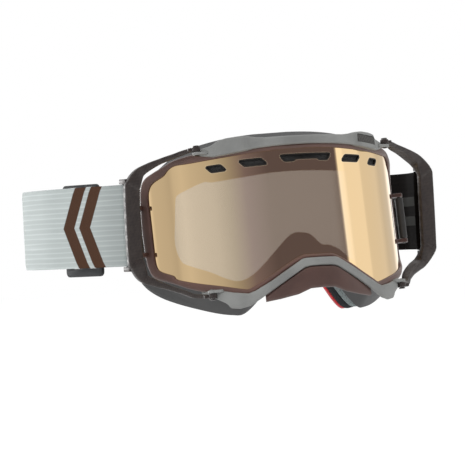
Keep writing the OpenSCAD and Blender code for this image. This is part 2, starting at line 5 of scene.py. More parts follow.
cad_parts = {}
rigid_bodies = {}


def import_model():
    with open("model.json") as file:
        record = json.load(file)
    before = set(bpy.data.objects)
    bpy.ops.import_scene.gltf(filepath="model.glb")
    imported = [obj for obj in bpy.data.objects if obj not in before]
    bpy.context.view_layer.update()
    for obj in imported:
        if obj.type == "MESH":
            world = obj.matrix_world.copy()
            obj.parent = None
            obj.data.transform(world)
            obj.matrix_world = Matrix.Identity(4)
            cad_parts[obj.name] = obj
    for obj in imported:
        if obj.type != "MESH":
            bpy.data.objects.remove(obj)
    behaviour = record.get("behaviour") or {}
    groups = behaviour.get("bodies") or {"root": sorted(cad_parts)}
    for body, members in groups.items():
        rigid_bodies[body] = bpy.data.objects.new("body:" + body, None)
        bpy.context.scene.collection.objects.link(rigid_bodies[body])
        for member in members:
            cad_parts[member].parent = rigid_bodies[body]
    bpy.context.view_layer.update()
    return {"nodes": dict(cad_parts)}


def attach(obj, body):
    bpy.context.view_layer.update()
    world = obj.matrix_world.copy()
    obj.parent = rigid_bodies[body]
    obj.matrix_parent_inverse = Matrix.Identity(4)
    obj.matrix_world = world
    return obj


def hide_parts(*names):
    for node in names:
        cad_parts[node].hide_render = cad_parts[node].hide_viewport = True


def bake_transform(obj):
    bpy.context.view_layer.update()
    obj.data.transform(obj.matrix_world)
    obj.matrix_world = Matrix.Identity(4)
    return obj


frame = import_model()
bpy.ops.object.select_all(action="DESELECT")

# Millimetres here, from the lens's apex. Pieces on the lens lean with it, the outriggers and the strap stand level.
apex = np.array((0, -40, 34.0))
rake = math.radians(8.5)
lensR, faceR, faceDeep = 90, 92, 24


def level(p):
    return (np.asarray(p, float) + apex) / 1000


def leant(p):
    # from the lens's own directions to level ones
    p = np.asarray(p, float)
    x, y, z = p[..., 0], p[..., 1], p[..., 2]
    return np.stack((x, y * math.cos(rake) + z * math.sin(rake), z * math.cos(rake) - y * math.sin(rake)), -1)


def leaning(p):
    return level(leant(p))


def onCylinder(s, z, h, r, deep):
    s, z, h = np.broadcast_arrays(np.asarray(s, float), z, h)
    a = s / r
    return leaning(np.stack(((r + h) * np.sin(a), deep + r - (r + h) * np.cos(a), z), -1))


def onLens(s, z, h):
    return onCylinder(s, z, h, lensR, 0)


def onFace(s, z, h):
    return onCylinder(s, z, h, faceR, faceDeep)


def mix(a, b, t):
    return a + (b - a) * t


def unit(v):
    return v / np.maximum(np.linalg.norm(v, axis=-1, keepdims=True), 1e-12)


def toward(a, b, d):
    return a + unit(b - a) * d


def smoothLine(points, cuts, ring=False):
    k = np.array(points, float)
    n = len(k)
    at = (lambda i: k[i % n]) if ring else (lambda i: k[min(max(i, 0), n - 1)])
    out = []
    for i in range(n if ring else n - 1):
        a, b, c, d = at(i - 1), at(i), at(i + 1), at(i + 2)
        for t in np.arange(cuts) / cuts:
            square, cube = (2 * a - 5 * b + 4 * c - d) * t * t, (3 * b - 3 * c + d - a) * t ** 3
            out.append((2 * b + (c - a) * t + square + cube) / 2)
    return np.array(out if ring else out + [k[-1]])


def wholeLoop(half, cuts=5):
    return smoothLine(half + [(-s, z) for s, z in half[-2:0:-1]], cuts, ring=True)


def rounded(rows, radii, cuts=3):
    # every corner of each loop becomes a short curve of its own radius
    before, after, out = np.roll(rows, 1, 1), np.roll(rows, -1, 1), []
    for j, r in enumerate(radii):
        p = rows[:, j]
        ends = []
        for q in (before[:, j], after[:, j]):
            reach = np.minimum(r / 1000, 0.45 * np.linalg.norm(q - p, axis=-1, keepdims=True))
            ends.append(p + unit(q - p) * reach)
        for t in (np.linspace(0, 1, cuts + 1) if r else [0.5]):
            out.append((1 - t) ** 2 * ends[0] + 2 * t * (1 - t) * p + t * t * ends[1] if r else p)
    return np.stack(out, 1)


def use(piece):
    bpy.ops.object.select_all(action="DESELECT")
    piece.select_set(True)
    bpy.context.view_layer.objects.active = piece


def pickFaces(piece, chosen):
    bpy.context.tool_settings.mesh_select_mode = (False, False, True)
    mesh = piece.data
    for part, wanted in ((mesh.vertices, []), (mesh.edges, []), (mesh.polygons, list(chosen))):
        flags = np.zeros(len(part), bool)
        flags[wanted] = True
        part.foreach_set("select", flags)


def onAll(piece, operator, **options):
    # an edit-mode operator on the whole mesh
    use(piece)
    bpy.ops.object.mode_set(mode="EDIT")
    bpy.ops.mesh.select_all(action="SELECT")
    operator(**options)
    bpy.ops.object.mode_set(mode="OBJECT")


def outward(piece):
    onAll(piece, bpy.ops.mesh.normals_make_consistent, inside=False)


def facingForward(piece):
    # an open face turned to look away from the head
    normals = np.zeros(len(piece.data.polygons) * 3)
    piece.data.polygons.foreach_get("normal", normals)
    if normals.reshape(-1, 3)[:, 1].mean() > 0:
        onAll(piece, bpy.ops.mesh.flip_normals)


def settled():
    # the place and turn of what was just made go into its mesh
    bpy.ops.object.transform_apply(location=True, rotation=True, scale=True)
    return bpy.context.object


def loft(name, rows, ring=True):
    # a torus whose loops are set one by one, cut open and capped where the piece has ends
    if len(rows) == 2:
        rows = np.stack((rows[0], (rows[0] + rows[1]) / 2, rows[1]))
    n, m = rows.shape[:2]
    bpy.ops.mesh.primitive_torus_add(major_segments=n, minor_segments=m)
    piece = bpy.context.object
    piece.name = piece.data.name = name
    piece.data.vertices.foreach_set("co", np.ascontiguousarray(rows, np.float32).reshape(-1))
    if not ring:
        pickFaces(piece, range((n - 1) * m, n * m))
        bpy.ops.object.mode_set(mode="EDIT")
        bpy.ops.mesh.delete(type="FACE")
        bpy.ops.mesh.select_all(action="SELECT")
        bpy.ops.mesh.fill_holes(sides=0)
        bpy.ops.object.mode_set(mode="OBJECT")
    outward(piece)
    return piece


def bevelled(piece, width, segments=2):
    use(piece)
    edge = piece.modifiers.new("edges", "BEVEL")
    edge.width, edge.segments, edge.angle_limit = width / 1000, segments, math.radians(35)
    bpy.ops.object.modifier_apply(modifier=edge.name)
    return piece


def slab(name, outline, low, high, place, edge=0.3):
    # a flat outline between two heights
    outline = np.array(outline, float)
    rows = np.stack([place(np.column_stack((outline, np.full(len(outline), z)))) for z in (low, high)])
    return bevelled(loft(name, rows, ring=False), edge)


def collar(name, at, inner, outer, low, high, place, edge=0.25):
    # a short tube round a pin
    a = np.arange(40) / 40 * math.tau
    corners = ((inner, low), (outer, low), (outer, high), (inner, high))
    rows = [[place((at[0] + r * math.cos(t), at[1] + r * math.sin(t), z)) for r, z in corners] for t in a]
    return loft(name, rounded(np.array(rows), [edge] * 4, 2))


def lugs(s, at, low, thick, turn=0.0):
    # an eye and its root on each side of the frame
    parts, (x, y) = [], at
    c, d = math.cos(turn), math.sin(turn)
    for flip in (1, -1):
        outline = [((x + a * c - b * d) * flip, y + a * d + b * c) for a, b in s["root"]]
        parts.append(collar("lug", (x * flip, y), s["pin"], s["eye"], low, low + thick, leaning))
        parts.append(slab("lugRoot", outline, low, low + thick, leaning))
    return parts


def joined(name, parts):
    use(parts[0])
    for p in parts:
        p.select_set(True)
    bpy.ops.object.join()
    parts[0].name = parts[0].data.name = name
    return parts[0]


def mirrored(piece, name):
    use(piece)
    bpy.ops.object.duplicate()
    other = bpy.context.object
    other.name = other.data.name = name
    other.data.transform(Matrix.Scale(-1, 4, (1, 0, 0)))
    outward(other)
    return other


def finish(piece, body, material, slot, *nodes, angle=35):
    # the look, the body and the slot of a piece, and the CAD nodes that it stands for; the slot is not used
    use(piece)
    piece.data.materials.clear()
    piece.data.materials.append(material)
    bpy.ops.object.shade_smooth_by_angle(angle=math.radians(angle))
    if body:
        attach(piece, body)
    if nodes:
        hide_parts(*nodes)
    return piece


def makePair(name, parts, node, material, slot, angle=35):
    # the right-hand piece and its mirror image, each on its own body
    right = joined(name.replace("Side", "Right"), parts)
    left = mirrored(right, name.replace("Side", "Left"))
    for piece, side in ((right, "_right"), (left, "_left")):
        finish(piece, node + side, material, slot, node + side, angle=angle)


def dress(node, material):
    # a CAD node that is kept as it is gets its look
    mesh = frame["nodes"][node].data
    mesh.materials.clear()
    mesh.materials.append(material)


# Materials
def tint(r, g, b):
    # a colour as it is seen, 0 to 255, for the shader
    return tuple(((c / 255 + 0.055) / 1.055) ** 2.4 if c > 10 else c / 3294 for c in (r, g, b)) + (1.0,)


class Value:
    # wraps a socket, so that sums on it add their Math nodes
    def __init__(self, look, socket):
        self.look, self.socket = look, socket

    def beside(self, out):
        # another output of the same node
        return Value(self.look, self.socket.node.outputs[out])

    def calc(self, operation, *terms):
        return self.look.node("ShaderNodeMath", {"operation": operation}, dict(enumerate(terms)))

    def __add__(self, other):
        return self.calc("ADD", self, other)

    def __sub__(self, other):
        return self.calc("SUBTRACT", self, other)

    def __rsub__(self, other):
        return self.calc("SUBTRACT", other, self)

    def __mul__(self, other):
        return self.calc("MULTIPLY", self, other)

    def __truediv__(self, other):
        return self.calc("DIVIDE", self, other)

    def __rtruediv__(self, other):
        return self.calc("DIVIDE", other, self)

    def __pow__(self, other):
        return self.calc("POWER", self, other)

    def __neg__(self):
        return self.calc("MULTIPLY", self, -1.0)

    def __abs__(self):
        return self.calc("ABSOLUTE", self)

    __radd__ = __add__
    __rmul__ = __mul__

    def sine(self):
        return self.calc("SINE", self)

    def most(self, other):
        return self.calc("MAXIMUM", self, other)

    def step(self, start, end):
        # 0 before start, 1 after end, smooth between
        ends = {0: self, 1: start, 2: end, 3: 0.0, 4: 1.0}
        return self.look.node("ShaderNodeMapRange", {"interpolation_type": "SMOOTHSTEP"}, ends)


class Look:
    # one material; constants go straight onto the shader's sockets
    def __init__(self, name, **constants):
        self.material = bpy.data.materials.new(name)
        self.material.use_nodes = True
        self.tree = self.material.node_tree
        self.shader, self.end = self.tree.nodes["Principled BSDF"], self.tree.nodes["Material Output"]
        for socket, value in constants.items():
            self.put(socket.replace("_", " "), value)

    def put(self, socket, value, node=None):
        target = (node or self.shader).inputs[socket]
        if isinstance(value, Value):
            self.tree.links.new(value.socket, target)
        else:
            target.default_value = value

    def node(self, kind, settings=None, inputs=None, out=0):
        node = self.tree.nodes.new(kind)
        for key, value in (settings or {}).items():
            if key == "stops":
                self.setStops(node.color_ramp.elements, value)
            else:
                setattr(node, key, value)
        for key, value in (inputs or {}).items():
            self.put(key, value, node)
        return Value(self, node.outputs[out]) if node.outputs else node

    def setStops(self, marks, stops):
        # a new ramp has a stop at each end already
        marks[0].color, marks[1].color = stops[0][1], stops[-1][1]
        for at, colour in stops[1:-1]:
            marks.new(at).color = colour

    def place(self, scale=(1, 1, 1), uv=False):
        coords = self.node("ShaderNodeTexCoord", out="UV" if uv else "Object")
        return self.node("ShaderNodeMapping", None, {"Vector": coords, "Scale": scale})

    def axes(self, vector):
        x = self.node("ShaderNodeSeparateXYZ", None, {0: vector})
        return x, x.beside(1), x.beside(2)

    def cloud(self, scale, detail=2.0, rough=0.5, place=None):
        grain = {"Vector": place or self.place(), "Scale": scale, "Detail": detail, "Roughness": rough}
        return self.node("ShaderNodeTexNoise", None, grain)

    def cells(self, scale):
        return self.node("ShaderNodeTexVoronoi", {"feature": "F1"}, {"Vector": self.place(), "Scale": scale})

    def blend(self, factor, a, b, kind="MIX"):
        return self.node("ShaderNodeMix", {"data_type": "RGBA", "blend_type": kind}, {0: factor, 6: a, 7: b}, out=2)

    def relief(self, height, deep, strength):
        bump = {"Height": height, "Distance": deep / 1000, "Strength": strength}
        self.put("Normal", self.node("ShaderNodeBump", None, bump))

    def shown(self):
        # 1 where a thing is seen, also in a mirror and through glass, 0 where it only lights the rest
        ray = self.node("ShaderNodeLightPath", out="Is Camera Ray")
        return ray.most(ray.beside("Is Glossy Ray")).most(ray.beside("Is Transmission Ray"))


class Room(Look):
    # the world's own nodes
    def __init__(self, world):
        world.use_nodes = True
        self.tree = world.node_tree
        self.tree.nodes.clear()
        self.end = self.node("ShaderNodeOutputWorld")


def moulded(name, colour, rough, grain=0.5, deep=0.03, wear=0.06, **constants):
    # moulded plastic or rubber: an eroded grain, soft blotches and a little polish where it is handled
    look = Look(name, Base_Color=tint(*colour), Roughness=rough, **constants)
    blotch = look.cloud(55.0, 3.0)
    fine = look.cloud(1000 / grain, 2.0, 0.6)
    pale, dark = tint(*(min(255, c * (1 + wear)) for c in colour)), tint(*(c * (1 - wear) for c in colour))
    look.put("Base Color", look.blend((blotch * 0.7 + fine * 0.3).step(0.35, 0.65), dark, pale))
    look.put("Roughness", blotch * 0.16 + fine * 0.08 + (rough - 0.12))
    look.relief(fine, deep, 0.6)
    return look.material


def foam(name, colour, pores=1.1, deep=0.5, fuzz=0.0):
    # open-cell foam or fleece: pores painted darker as shade, over a soft unevenness
    look = Look(name, Base_Color=tint(*colour), Roughness=0.95, Sheen_Weight=fuzz, Sheen_Roughness=0.5,
        Specular_IOR_Level=0.2)
    pit, fluff, soft = look.cells(1000 / pores), look.cloud(2600.0, 3.0, 0.7), look.cloud(90.0, 3.0)
    depth = pit.step(0.05, 0.6) * 0.6 + fluff * 0.4
    dark, pale = tint(*(c * 0.62 for c in colour)), tint(*(min(255, c * 1.12) for c in colour))
    # painted shade: the pores are darker than the foam round them
    look.put("Base Color", look.blend((depth * 0.8 + soft * 0.35 - 0.1).step(0.1, 0.85), dark, pale))
    look.relief(1 - depth, deep, 0.7)
    return look.material


brownPlastic = moulded("brownPlastic", (84, 58, 50), 0.42, 0.45, 0.02)
greyPlastic = moulded("greyPlastic", (118, 119, 117), 0.5, 0.4, 0.02)
guardRubber = moulded("guardRubber", (74, 53, 47), 0.46, 0.45, 0.02)
softFrame = moulded("softFrame", (58, 58, 58), 0.6, 0.6, 0.04)
gasketRubber = moulded("gasketRubber", (30, 28, 28), 0.7)
sliderPlastic = moulded("sliderPlastic", (36, 38, 40), 0.5, 0.5, 0.03, Specular_IOR_Level=0.3)
leverPlastic = moulded("leverPlastic", (56, 55, 53), 0.5, 0.4, 0.02)
greyFoam = foam("greyFoam", (112, 120, 120), 1.0, 0.4)
darkFoam = foam("darkFoam", (40, 42, 44), 0.9, 0.4)
ventFoam = foam("ventFoam", (46, 46, 46), 0.8, 0.5)
redFleece = foam("redFleece", (188, 40, 46), 0.7, 0.35, fuzz=0.6)
silicone = moulded("silicone", (40, 40, 38), 0.85, 0.8, 0.02, Specular_IOR_Level=0.05)
thread = moulded("thread", (70, 74, 76), 0.8, 0.3, 0.1)


def steel():
    look = Look("steel", Base_Color=tint(78, 74, 72), Metallic=1.0, Roughness=0.35)
    turned = look.cloud(900.0, 2.0, place=look.place((1, 1, 12)))
    look.put("Roughness", turned * 0.3 + 0.2)
    return look.material


pinSteel = steel()


# The weave: pale lengthwise lines, cross ribs and how far the lines wander, in metres, and the relief in millimetres
weave = {"broad": 0.0062, "narrow": 0.0031, "rib": 0.0011, "pick": 0.0013, "wander": 0.0012, "deep": 0.12}


def webbing(name, colour, line, sheen=0.05, shine=0.12):
    # woven elastic on a UV map in metres
    look = Look(name, Base_Color=tint(*colour), Roughness=0.85, Sheen_Weight=sheen, Specular_IOR_Level=shine)
    along, up, _ = look.axes(look.place(uv=True))
    wander = look.cloud(60.0, 2.0, place=look.place((0.25, 3, 1), uv=True))
    row = up + (wander - 0.5) * weave["wander"]
    broad = ((row / weave["broad"] * math.tau).sine() * 0.5 + 0.5) ** 4.0
    narrow = ((row / weave["narrow"] * math.tau + 0.8).sine() * 0.5 + 0.5) ** 4.0
    lines = broad * 0.22 + narrow * 0.55 + (wander - 0.5) * 0.6
    ribs = (along / weave["rib"] * math.tau).sine() * (up / weave["pick"] * math.tau).sine() * 0.5 + 0.5
    ground = look.blend(ribs * 0.35, tint(*colour), tint(*(c * 0.9 for c in colour)))
    look.put("Base Color", look.blend(lines.step(0.0, 0.8), ground, tint(*line)))
    look.relief(ribs * 0.6 + lines * 0.4, weave["deep"], 0.55)
    return look, along, up


paleYarn = ((163, 170, 169), (180, 187, 186))


def motifWebbing(s):
    # two brown chevrons, woven in, where the strap carries a decoration; painted shade darkens the webbing towards the
    # rod
    look, along, up = webbing("paleWebbing", *paleYarn)
    plain = Value(look, look.shader.inputs["Base Color"].links[0].from_socket)
    lean, edge = abs(up - s["middle"]) * s["slant"], s["edge"]
    inside = None
    for start, wide in s["bars"]:
        place = along - start + lean
        bar = place.step(-edge, edge) * (1 - (place - wide).step(-edge, edge))
        inside = bar if inside is None else inside.most(bar)
    yarn = look.cloud(1500.0, 2.0, place=look.place((1, 3, 1), uv=True))
    brown = look.blend(yarn.step(0.3, 0.7), *(tint(*colour) for colour in s["brown"]))
    # painted shade: the webbing is multiplied darker over its first few centimetres from the rod
    paintedRodShade = look.blend(along.step(0.0, s["fade"]), tint(*s["paintedRodShade"]), tint(255, 255, 255))
    look.put("Base Color", look.blend(inside, look.blend(1.0, plain, paintedRodShade, "MULTIPLY"), brown))
    return look.material


# Outlines of the lens, its frame and the face frame, half of each, as arc length and height
lensEdge = [(0, 4.5), (19, 4.2), (38, 3.4), (60, 2.6), (74, 2.4), (84, 2.6), (89, 0.8), (93, -2.2), (101, -4.8),
    (105, -8), (106.7, -14), (106.7, -33), (106.7, -50), (105.5, -57), (102, -60), (93.5, -63.7), (90.5, -66.6),
    (77, -71), (61, -75.2), (50, -78.2), (45.5, -78.9), (41, -77), (32, -72.7), (22, -67), (11.5, -61.9), (6, -61.3),
    (0, -61.3)]
ringEdge = [(0, 8), (19, 8), (38, 7.8), (60, 7.8), (73, 7.6), (85, 6.2), (93, 3.6), (101, 1.3), (108, -1.2),
    (112, -6), (113.8, -15), (115, -34), (114.2, -50), (112.6, -57), (108.5, -63), (98, -67.4), (91, -70.3),
    (80, -75), (62, -80.2), (51, -82.4), (45, -82.8), (39, -80.6), (30, -75.8), (20.5, -70), (10.5, -65),
    (5.5, -64.3), (0, -64.3)]
rearEdge = [(0, 19.5), (22, 19.2), (43, 17.8), (62, 14.8), (74, 11), (84, 5.5), (93, 0), (99, -4.5), (105, -10),
    (109, -16), (111.5, -23), (112.5, -36), (111.5, -50), (108.5, -60), (103, -67), (94, -73.5), (84, -78.7),
    (72, -83.8), (57, -89.3), (47, -91.7), (41, -92), (34.5, -88), (26.5, -80), (18.5, -70.5), (9.5, -61), (5, -58.8),
    (0, -58.3)]
openingEdge = [(0, -5.5), (20, -5.6), (38, -6.5), (50, -7.2), (56, -8), (61, -9.3), (66, -10.8), (70, -12.8),
    (73.5, -15.5), (76, -19), (77.5, -24), (78, -33), (77.5, -44), (76, -50.5), (73.5, -55), (68.5, -58.8),
    (63, -61.5), (57, -64), (50, -67.8), (44, -70.6), (39, -71.3), (33, -69), (26, -63.5), (17.5, -57), (9, -48),
    (4.5, -45), (0, -44.5)]
browTop = [(0, 12), (26, 12.1), (31, 12.7), (35, 13.6), (41, 14.2), (49, 13.9), (54, 12.9), (58, 10.9), (64, 9.7),
    (70.5, 8.2)]
browLow = [(0, 6.7), (20, 6.4), (33, 5.8), (37, 5), (50, 3.8), (58, 3.7), (64, 5), (70.5, 7.8)]
chinTop = [(0, -63.7), (9, -63.8), (11.6, -64.2), (32, -76.2), (41.5, -80.8), (45.7, -82), (54.7, -80.2),
    (67.7, -76.3), (73.5, -78.5)]
chinLow = [(0, -68.8), (7, -68.9), (10.7, -69.6), (39, -86.2), (45, -89.5), (51.4, -90.6), (57.2, -89.5), (59, -86.6),
    (64, -83.5), (73.5, -78.9)]
guardLow = [(0, -82.3), (8, -82.6), (16, -85.6), (27, -87.4), (38, -88.4)]

lensLoop, ringLoop, rearLoop, openingLoop = (wholeLoop(k) for k in (lensEdge, ringEdge, rearEdge, openingEdge))
ringWide = np.linalg.norm(ringLoop - lensLoop, axis=1, keepdims=True)


def atLoop(place, points, h):
    return place(points[:, 0], points[:, 1], h)


# Lens frame
lensFrame = {"lap": 1.65, "proud": 2.0, "deep": 5.4, "seat": 0.15, "edge": 1.4, "lip": (0.5, 1.2),
    "soft": (0.25, 0.9, 1.2, 1.1, 0.5, 0.4, 0.2), "lockAt": (91.39, 59.97), "lockZ": -33, "leverHigh": 26,
    "clear": 0.4, "knuckle": 2.4, "pin": 1.05, "eye": 2.4, "root": [(-0.8, -2.4), (-7.2, 0.8), (-6.4, 4.4),
    (1.5, 2.2)]}


def makeLensFrame(s):
    rim = lambda d: toward(lensLoop, ringLoop, d)
    start, rise = s["lip"]
    corners = [(lensLoop, s["seat"]), (rim(start), rise), (rim(ringWide - s["edge"]), s["proud"]),
        (rim(ringWide), s["proud"] - s["edge"]), (rim(ringWide), -s["deep"]), (rim(s["lap"]), -s["deep"]),
        (rim(s["lap"]), s["seat"])]
    rows = np.stack([atLoop(onLens, p, h) for p, h in corners], 1)
    parts = [loft("lensFrame", rounded(rows, s["soft"]))]
    for side in (-1, 1):
        middle = s["lockZ"] + side * (s["leverHigh"] / 2 + s["clear"] + s["knuckle"] / 2)
        parts += lugs(s, s["lockAt"], middle - s["knuckle"] / 2, s["knuckle"])
    return finish(joined("lensFrameRing", parts), "frame", brownPlastic, "brown_plastic", "lens_frame")


makeLensFrame(lensFrame)
print("lens frame")


# Soft face frame and the three layers of face foam
faceFrame = {"front": -5.55, "lip": 2.0, "lipOver": 1.0, "edgeIn": 0.3, "wall": 2.5, "steps": (0.12, 0.5, 0.88),
    "soft": (0.6, 2, 6, 2, 0.8, 0, 0.5, 0.5, 0, 0.8, 0.8, 0.4, 0.4)}


def makeFaceFrame(s):
    wall, lipBack = s["wall"], s["front"] - s["lip"]
    edge, shell, lip = (toward(lensLoop, ringLoop, d) for d in (ringWide - s["edgeIn"], ringWide - wall, -s["lipOver"]))
    inner = toward(rearLoop, openingLoop, wall)
    front, back = atLoop(onLens, edge, s["front"]), atLoop(onFace, rearLoop, 0)
    rows = [front] + [mix(front, back, t) for t in s["steps"]] + [back]
    for p, h in ((mix(rearLoop, openingLoop, 0.5), 0), (openingLoop, 0), (openingLoop, wall),
            (mix(inner, openingLoop, 0.5), wall), (inner, wall)):
        rows.append(atLoop(onFace, p, h))
    for p, h in ((shell, lipBack), (lip, lipBack), (lip, s["front"])):
        rows.append(atLoop(onLens, p, h))
    piece = loft("faceFrameShell", rounded(np.stack(rows, 1), s["soft"], 2))
    return finish(piece, "frame", softFrame, "soft_frame", "face_frame", angle=40)


makeFaceFrame(faceFrame)

foamLayers = {"inset": 2.0, "lumps": 55, "grain": 160,
    "foamBase": {"from": 0.15, "to": 6.65, "swell": 0.6, "crown": 0.0, "round": 1.2, "uneven": 0.25},
    "foamMiddle": {"from": 6.8, "to": 12.3, "swell": 0.8, "crown": 0.0, "round": 1.4, "uneven": 0.3},
    "foamFleece": {"from": 12.45, "to": 15.95, "swell": 0.3, "crown": 1.6, "round": 1.6, "uneven": 0.3}}


def makeFoam(name, s, material, slot, node):
    outer = toward(rearLoop, openingLoop, foamLayers["inset"])
    hole = toward(openingLoop, rearLoop, foamLayers["inset"] / 2)
    between, low, high = mix(outer, hole, 0.5), s["from"], s["to"]
    middle = (low + high) / 2
    corners = [(outer, low), (toward(outer, hole, -s["swell"]), middle), (toward(outer, hole, s["crown"]), high),
        (between, high + s["crown"] / 3), (toward(hole, outer, s["crown"]), high),
        (toward(hole, outer, -s["swell"]), middle), (hole, low), (between, low)]
    soft = (0.5, 3, s["round"], 6, s["round"], 3, 0.5, 0)
    rows = rounded(np.stack([atLoop(onFace, p, -d) for p, d in corners], 1), soft)
    # the foam is cut and pressed by hand, so it is a little uneven
    centre = rows.mean(1, keepdims=True)
    for i, row in enumerate(rows):
        for j, p in enumerate(row):
            n = noise.noise(Vector(p) * foamLayers["lumps"]) + 0.4 * noise.noise(Vector(p) * foamLayers["grain"])
            rows[i, j] = p + unit(centre[i, 0] - p) * (0.5 + 0.5 * n) * s["uneven"] / 1000
    piece = finish(loft(name, rows), "frame", material, slot, node, angle=60)
    return piece


makeFoam("foamBase", foamLayers["foamBase"], greyFoam, "foam_grey", "foam_base")
makeFoam("foamMiddle", foamLayers["foamMiddle"], darkFoam, "foam_dark", "foam_middle")
makeFoam("foamFleece", foamLayers["foamFleece"], redFleece, "fleece", "foam_fleece")
print("face frame and foam")


# Trims, badge and nose guard: plates on the lens frame between two edges
def edgeAt(a, edge):
    x, y = zip(*edge)
    return np.interp(a, x, y)


trims = {"base": 2.15, "thick": 2.0, "step": 1.0, "chamfer": 0.8, "soft": (0.1, 0.5, 0.5, 0.5, 0.5, 0.1),
    "browReach": 70.5, "chinReach": 73.5, "ear": 1.6, "earFrom": 34, "earTo": 57, "earSlope": 5,
    "hinge": (64.50, 19.03), "hingeTurn": 66.4 / 90, "root": [(-0.4, -2.5), (-6.4, 0.9), (-6.4, 3.2), (1, 2.4)],
    "pin": 1.25, "eye": 2.6, "lug": 1.8, "clear": 0.4, "eyeTop": 9.4, "eyeLow": -81.2, "eyeHigh": 2.8}
badge = {"at": 45.5, "high": 9.4, "size": (17, 4.6), "tilt": 4, "clear": 0.2, "recess": 1.2, "over": 0.25,
    "sink": 0.35, "rib": 1.7, "ribFrom": 0.55, "ribSteep": 4, "rim": 0.35, "fade": 0.3, "slant": 0.5, "deep": 0.3,
    "thick": 0.6, "grid": (136, 24)}


def plateRows(reach, topEdge, lowEdge, rise, s=trims):
    n = math.ceil(reach / s["step"])
    at = reach * np.arange(-n, n + 1) / n
    a = np.abs(at)
    base, h, c = s["base"], rise(a), s["chamfer"]
    low = edgeAt(a, lowEdge)
    top = np.maximum(edgeAt(a, topEdge), low + 2 * c + 0.1)
    corners = [(low, base), (low, h - c), (low + c, h), (top - c, h), (top, h - c), (top, base)]
    return np.stack([onLens(at, z, k) for z, k in corners], 1)


def earRise(a, s=trims):
    t = np.clip(np.minimum((a - s["earFrom"]) / s["earSlope"], (s["earTo"] - a) / s["earSlope"]), 0, 1)
    return s["ear"] * t * t * (3 - 2 * t)


def cutBy(piece, cutter):
    use(piece)
    cut = piece.modifiers.new("cut", "BOOLEAN")
    cut.object, cut.operation, cut.solver = cutter, "DIFFERENCE", "EXACT"
    bpy.ops.object.modifier_apply(modifier=cut.name)
    bpy.data.objects.remove(cutter)


def hingeRoom(z, s=trims):
    # where the outriggers' eyes turn
    parts = []
    for flip in (1, -1):
        bpy.ops.mesh.primitive_cylinder_add(vertices=48, radius=(s["eye"] + s["clear"]) / 1000,
            depth=(s["eyeHigh"] + 2 * s["clear"]) / 1000, location=leaning((s["hinge"][0] * flip, s["hinge"][1], z)),
            rotation=(-rake, 0, 0))
        parts.append(bpy.context.object)
    joined("hingeRoom", parts)
    return settled()


def onEar(x, y, h, s=badge):
    # a place on the ear, in the badge's own directions
    c, d = math.cos(math.radians(s["tilt"])), math.sin(math.radians(s["tilt"]))
    return onLens(s["at"] + x * c + y * d, s["high"] - x * d + y * c, h)


def badgeRoom(face, s=badge):
    # a block through the ear's face, a little larger than the badge
    w, t = (k / 2 + s["clear"] for k in s["size"])
    corners = np.array([(-w, -t), (w, -t), (w, t), (-w, t)])
    outline = [mix(corners[i], corners[(i + 1) % 4], j / 12) for i in range(4) for j in range(12)]
    rows = [[onEar(x, y, h) for x, y in outline] for h in (face - s["recess"], face + s["over"])]
    return loft("badgeRoom", np.array(rows), ring=False)


def makeTrim(name, node, reach, topEdge, lowEdge, eye, side, ears=False, s=trims):
    # a plate along the lens frame, with a pair of lugs above or below the outriggers' eyes
    face = s["base"] + s["thick"]
    rows = plateRows(reach, topEdge, lowEdge, lambda a: face + earRise(a) * ears)
    plate = loft(name, rounded(rows, s["soft"], 2), ring=False)
    cutBy(plate, hingeRoom(eye))
    if ears:
        cutBy(plate, badgeRoom(face + s["ear"]))
    middle = eye + side * (s["eyeHigh"] / 2 + s["clear"] + s["lug"] / 2)
    joined(name + "Plate", [plate] + lugs(s, s["hinge"], middle - s["lug"] / 2, s["lug"], s["hingeTurn"]))
    return finish(plate, "frame", greyPlastic, "grey_trim", node, angle=32)


def makeBadge(s):
    # a blank inlay with slanting ribs
    (w, t), (n, m) = s["size"], s["grid"]
    x, y = np.meshgrid(np.linspace(-w / 2, w / 2, n + 1), np.linspace(-t / 2, t / 2, m + 1), indexing="ij")
    rib = np.abs(((x + y * s["slant"]) / s["rib"]) % 1.0 - 0.5) * 2
    edge = np.minimum(w / 2 - np.abs(x), t / 2 - np.abs(y))
    # the ribs fade out before the edge, and the edge is eased
    groove = np.clip((rib - s["ribFrom"]) * s["ribSteep"], 0, 1) * np.clip((edge - s["rim"]) / s["fade"], 0, 1)
    eased = np.clip(1 - edge / s["fade"], 0, 1) ** 2
    face = onEar(x, y, trims["base"] + trims["thick"] + trims["ear"] - s["sink"] - s["deep"] * (groove + eased))
    bpy.ops.mesh.primitive_grid_add(x_subdivisions=n, y_subdivisions=m)
    inlay = bpy.context.object
    inlay.data.vertices.foreach_set("co", np.ascontiguousarray(face.transpose(1, 0, 2), np.float32).reshape(-1))
    inlay.name = inlay.data.name = "earBadge"
    facingForward(inlay)
    use(inlay)
    back = inlay.modifiers.new("back", "SOLIDIFY")
    back.thickness, back.offset = s["thick"] / 1000, -1
    bpy.ops.object.modifier_apply(modifier=back.name)
    return finish(inlay, "frame", badgePlastic, "badge", "ear_badge", angle=30)


badgePlastic = moulded("badgePlastic", (62, 60, 57), 0.4, 0.4, 0.02)
makeTrim("browTrim", "brow_trim", trims["browReach"], browTop, browLow, trims["eyeTop"], -1, ears=True)
makeBadge(badge)
makeTrim("chinTrim", "chin_trim", trims["chinReach"], chinTop, chinLow, trims["eyeLow"], 1)

noseGuard = {"tip": 36, "bow": 2.0, "thick": 2.0, "gap": 0.5, "chamfer": 0.8, "lip": 2.4, "lipFront": 1.8,
    "lipBack": 0.9, "lipUnder": 0.5, "cuts": 48, "soft": (0.2, 0.6, 0.6, 0.6, 0.6, 0.1, 0.2, 0.2, 0.2)}


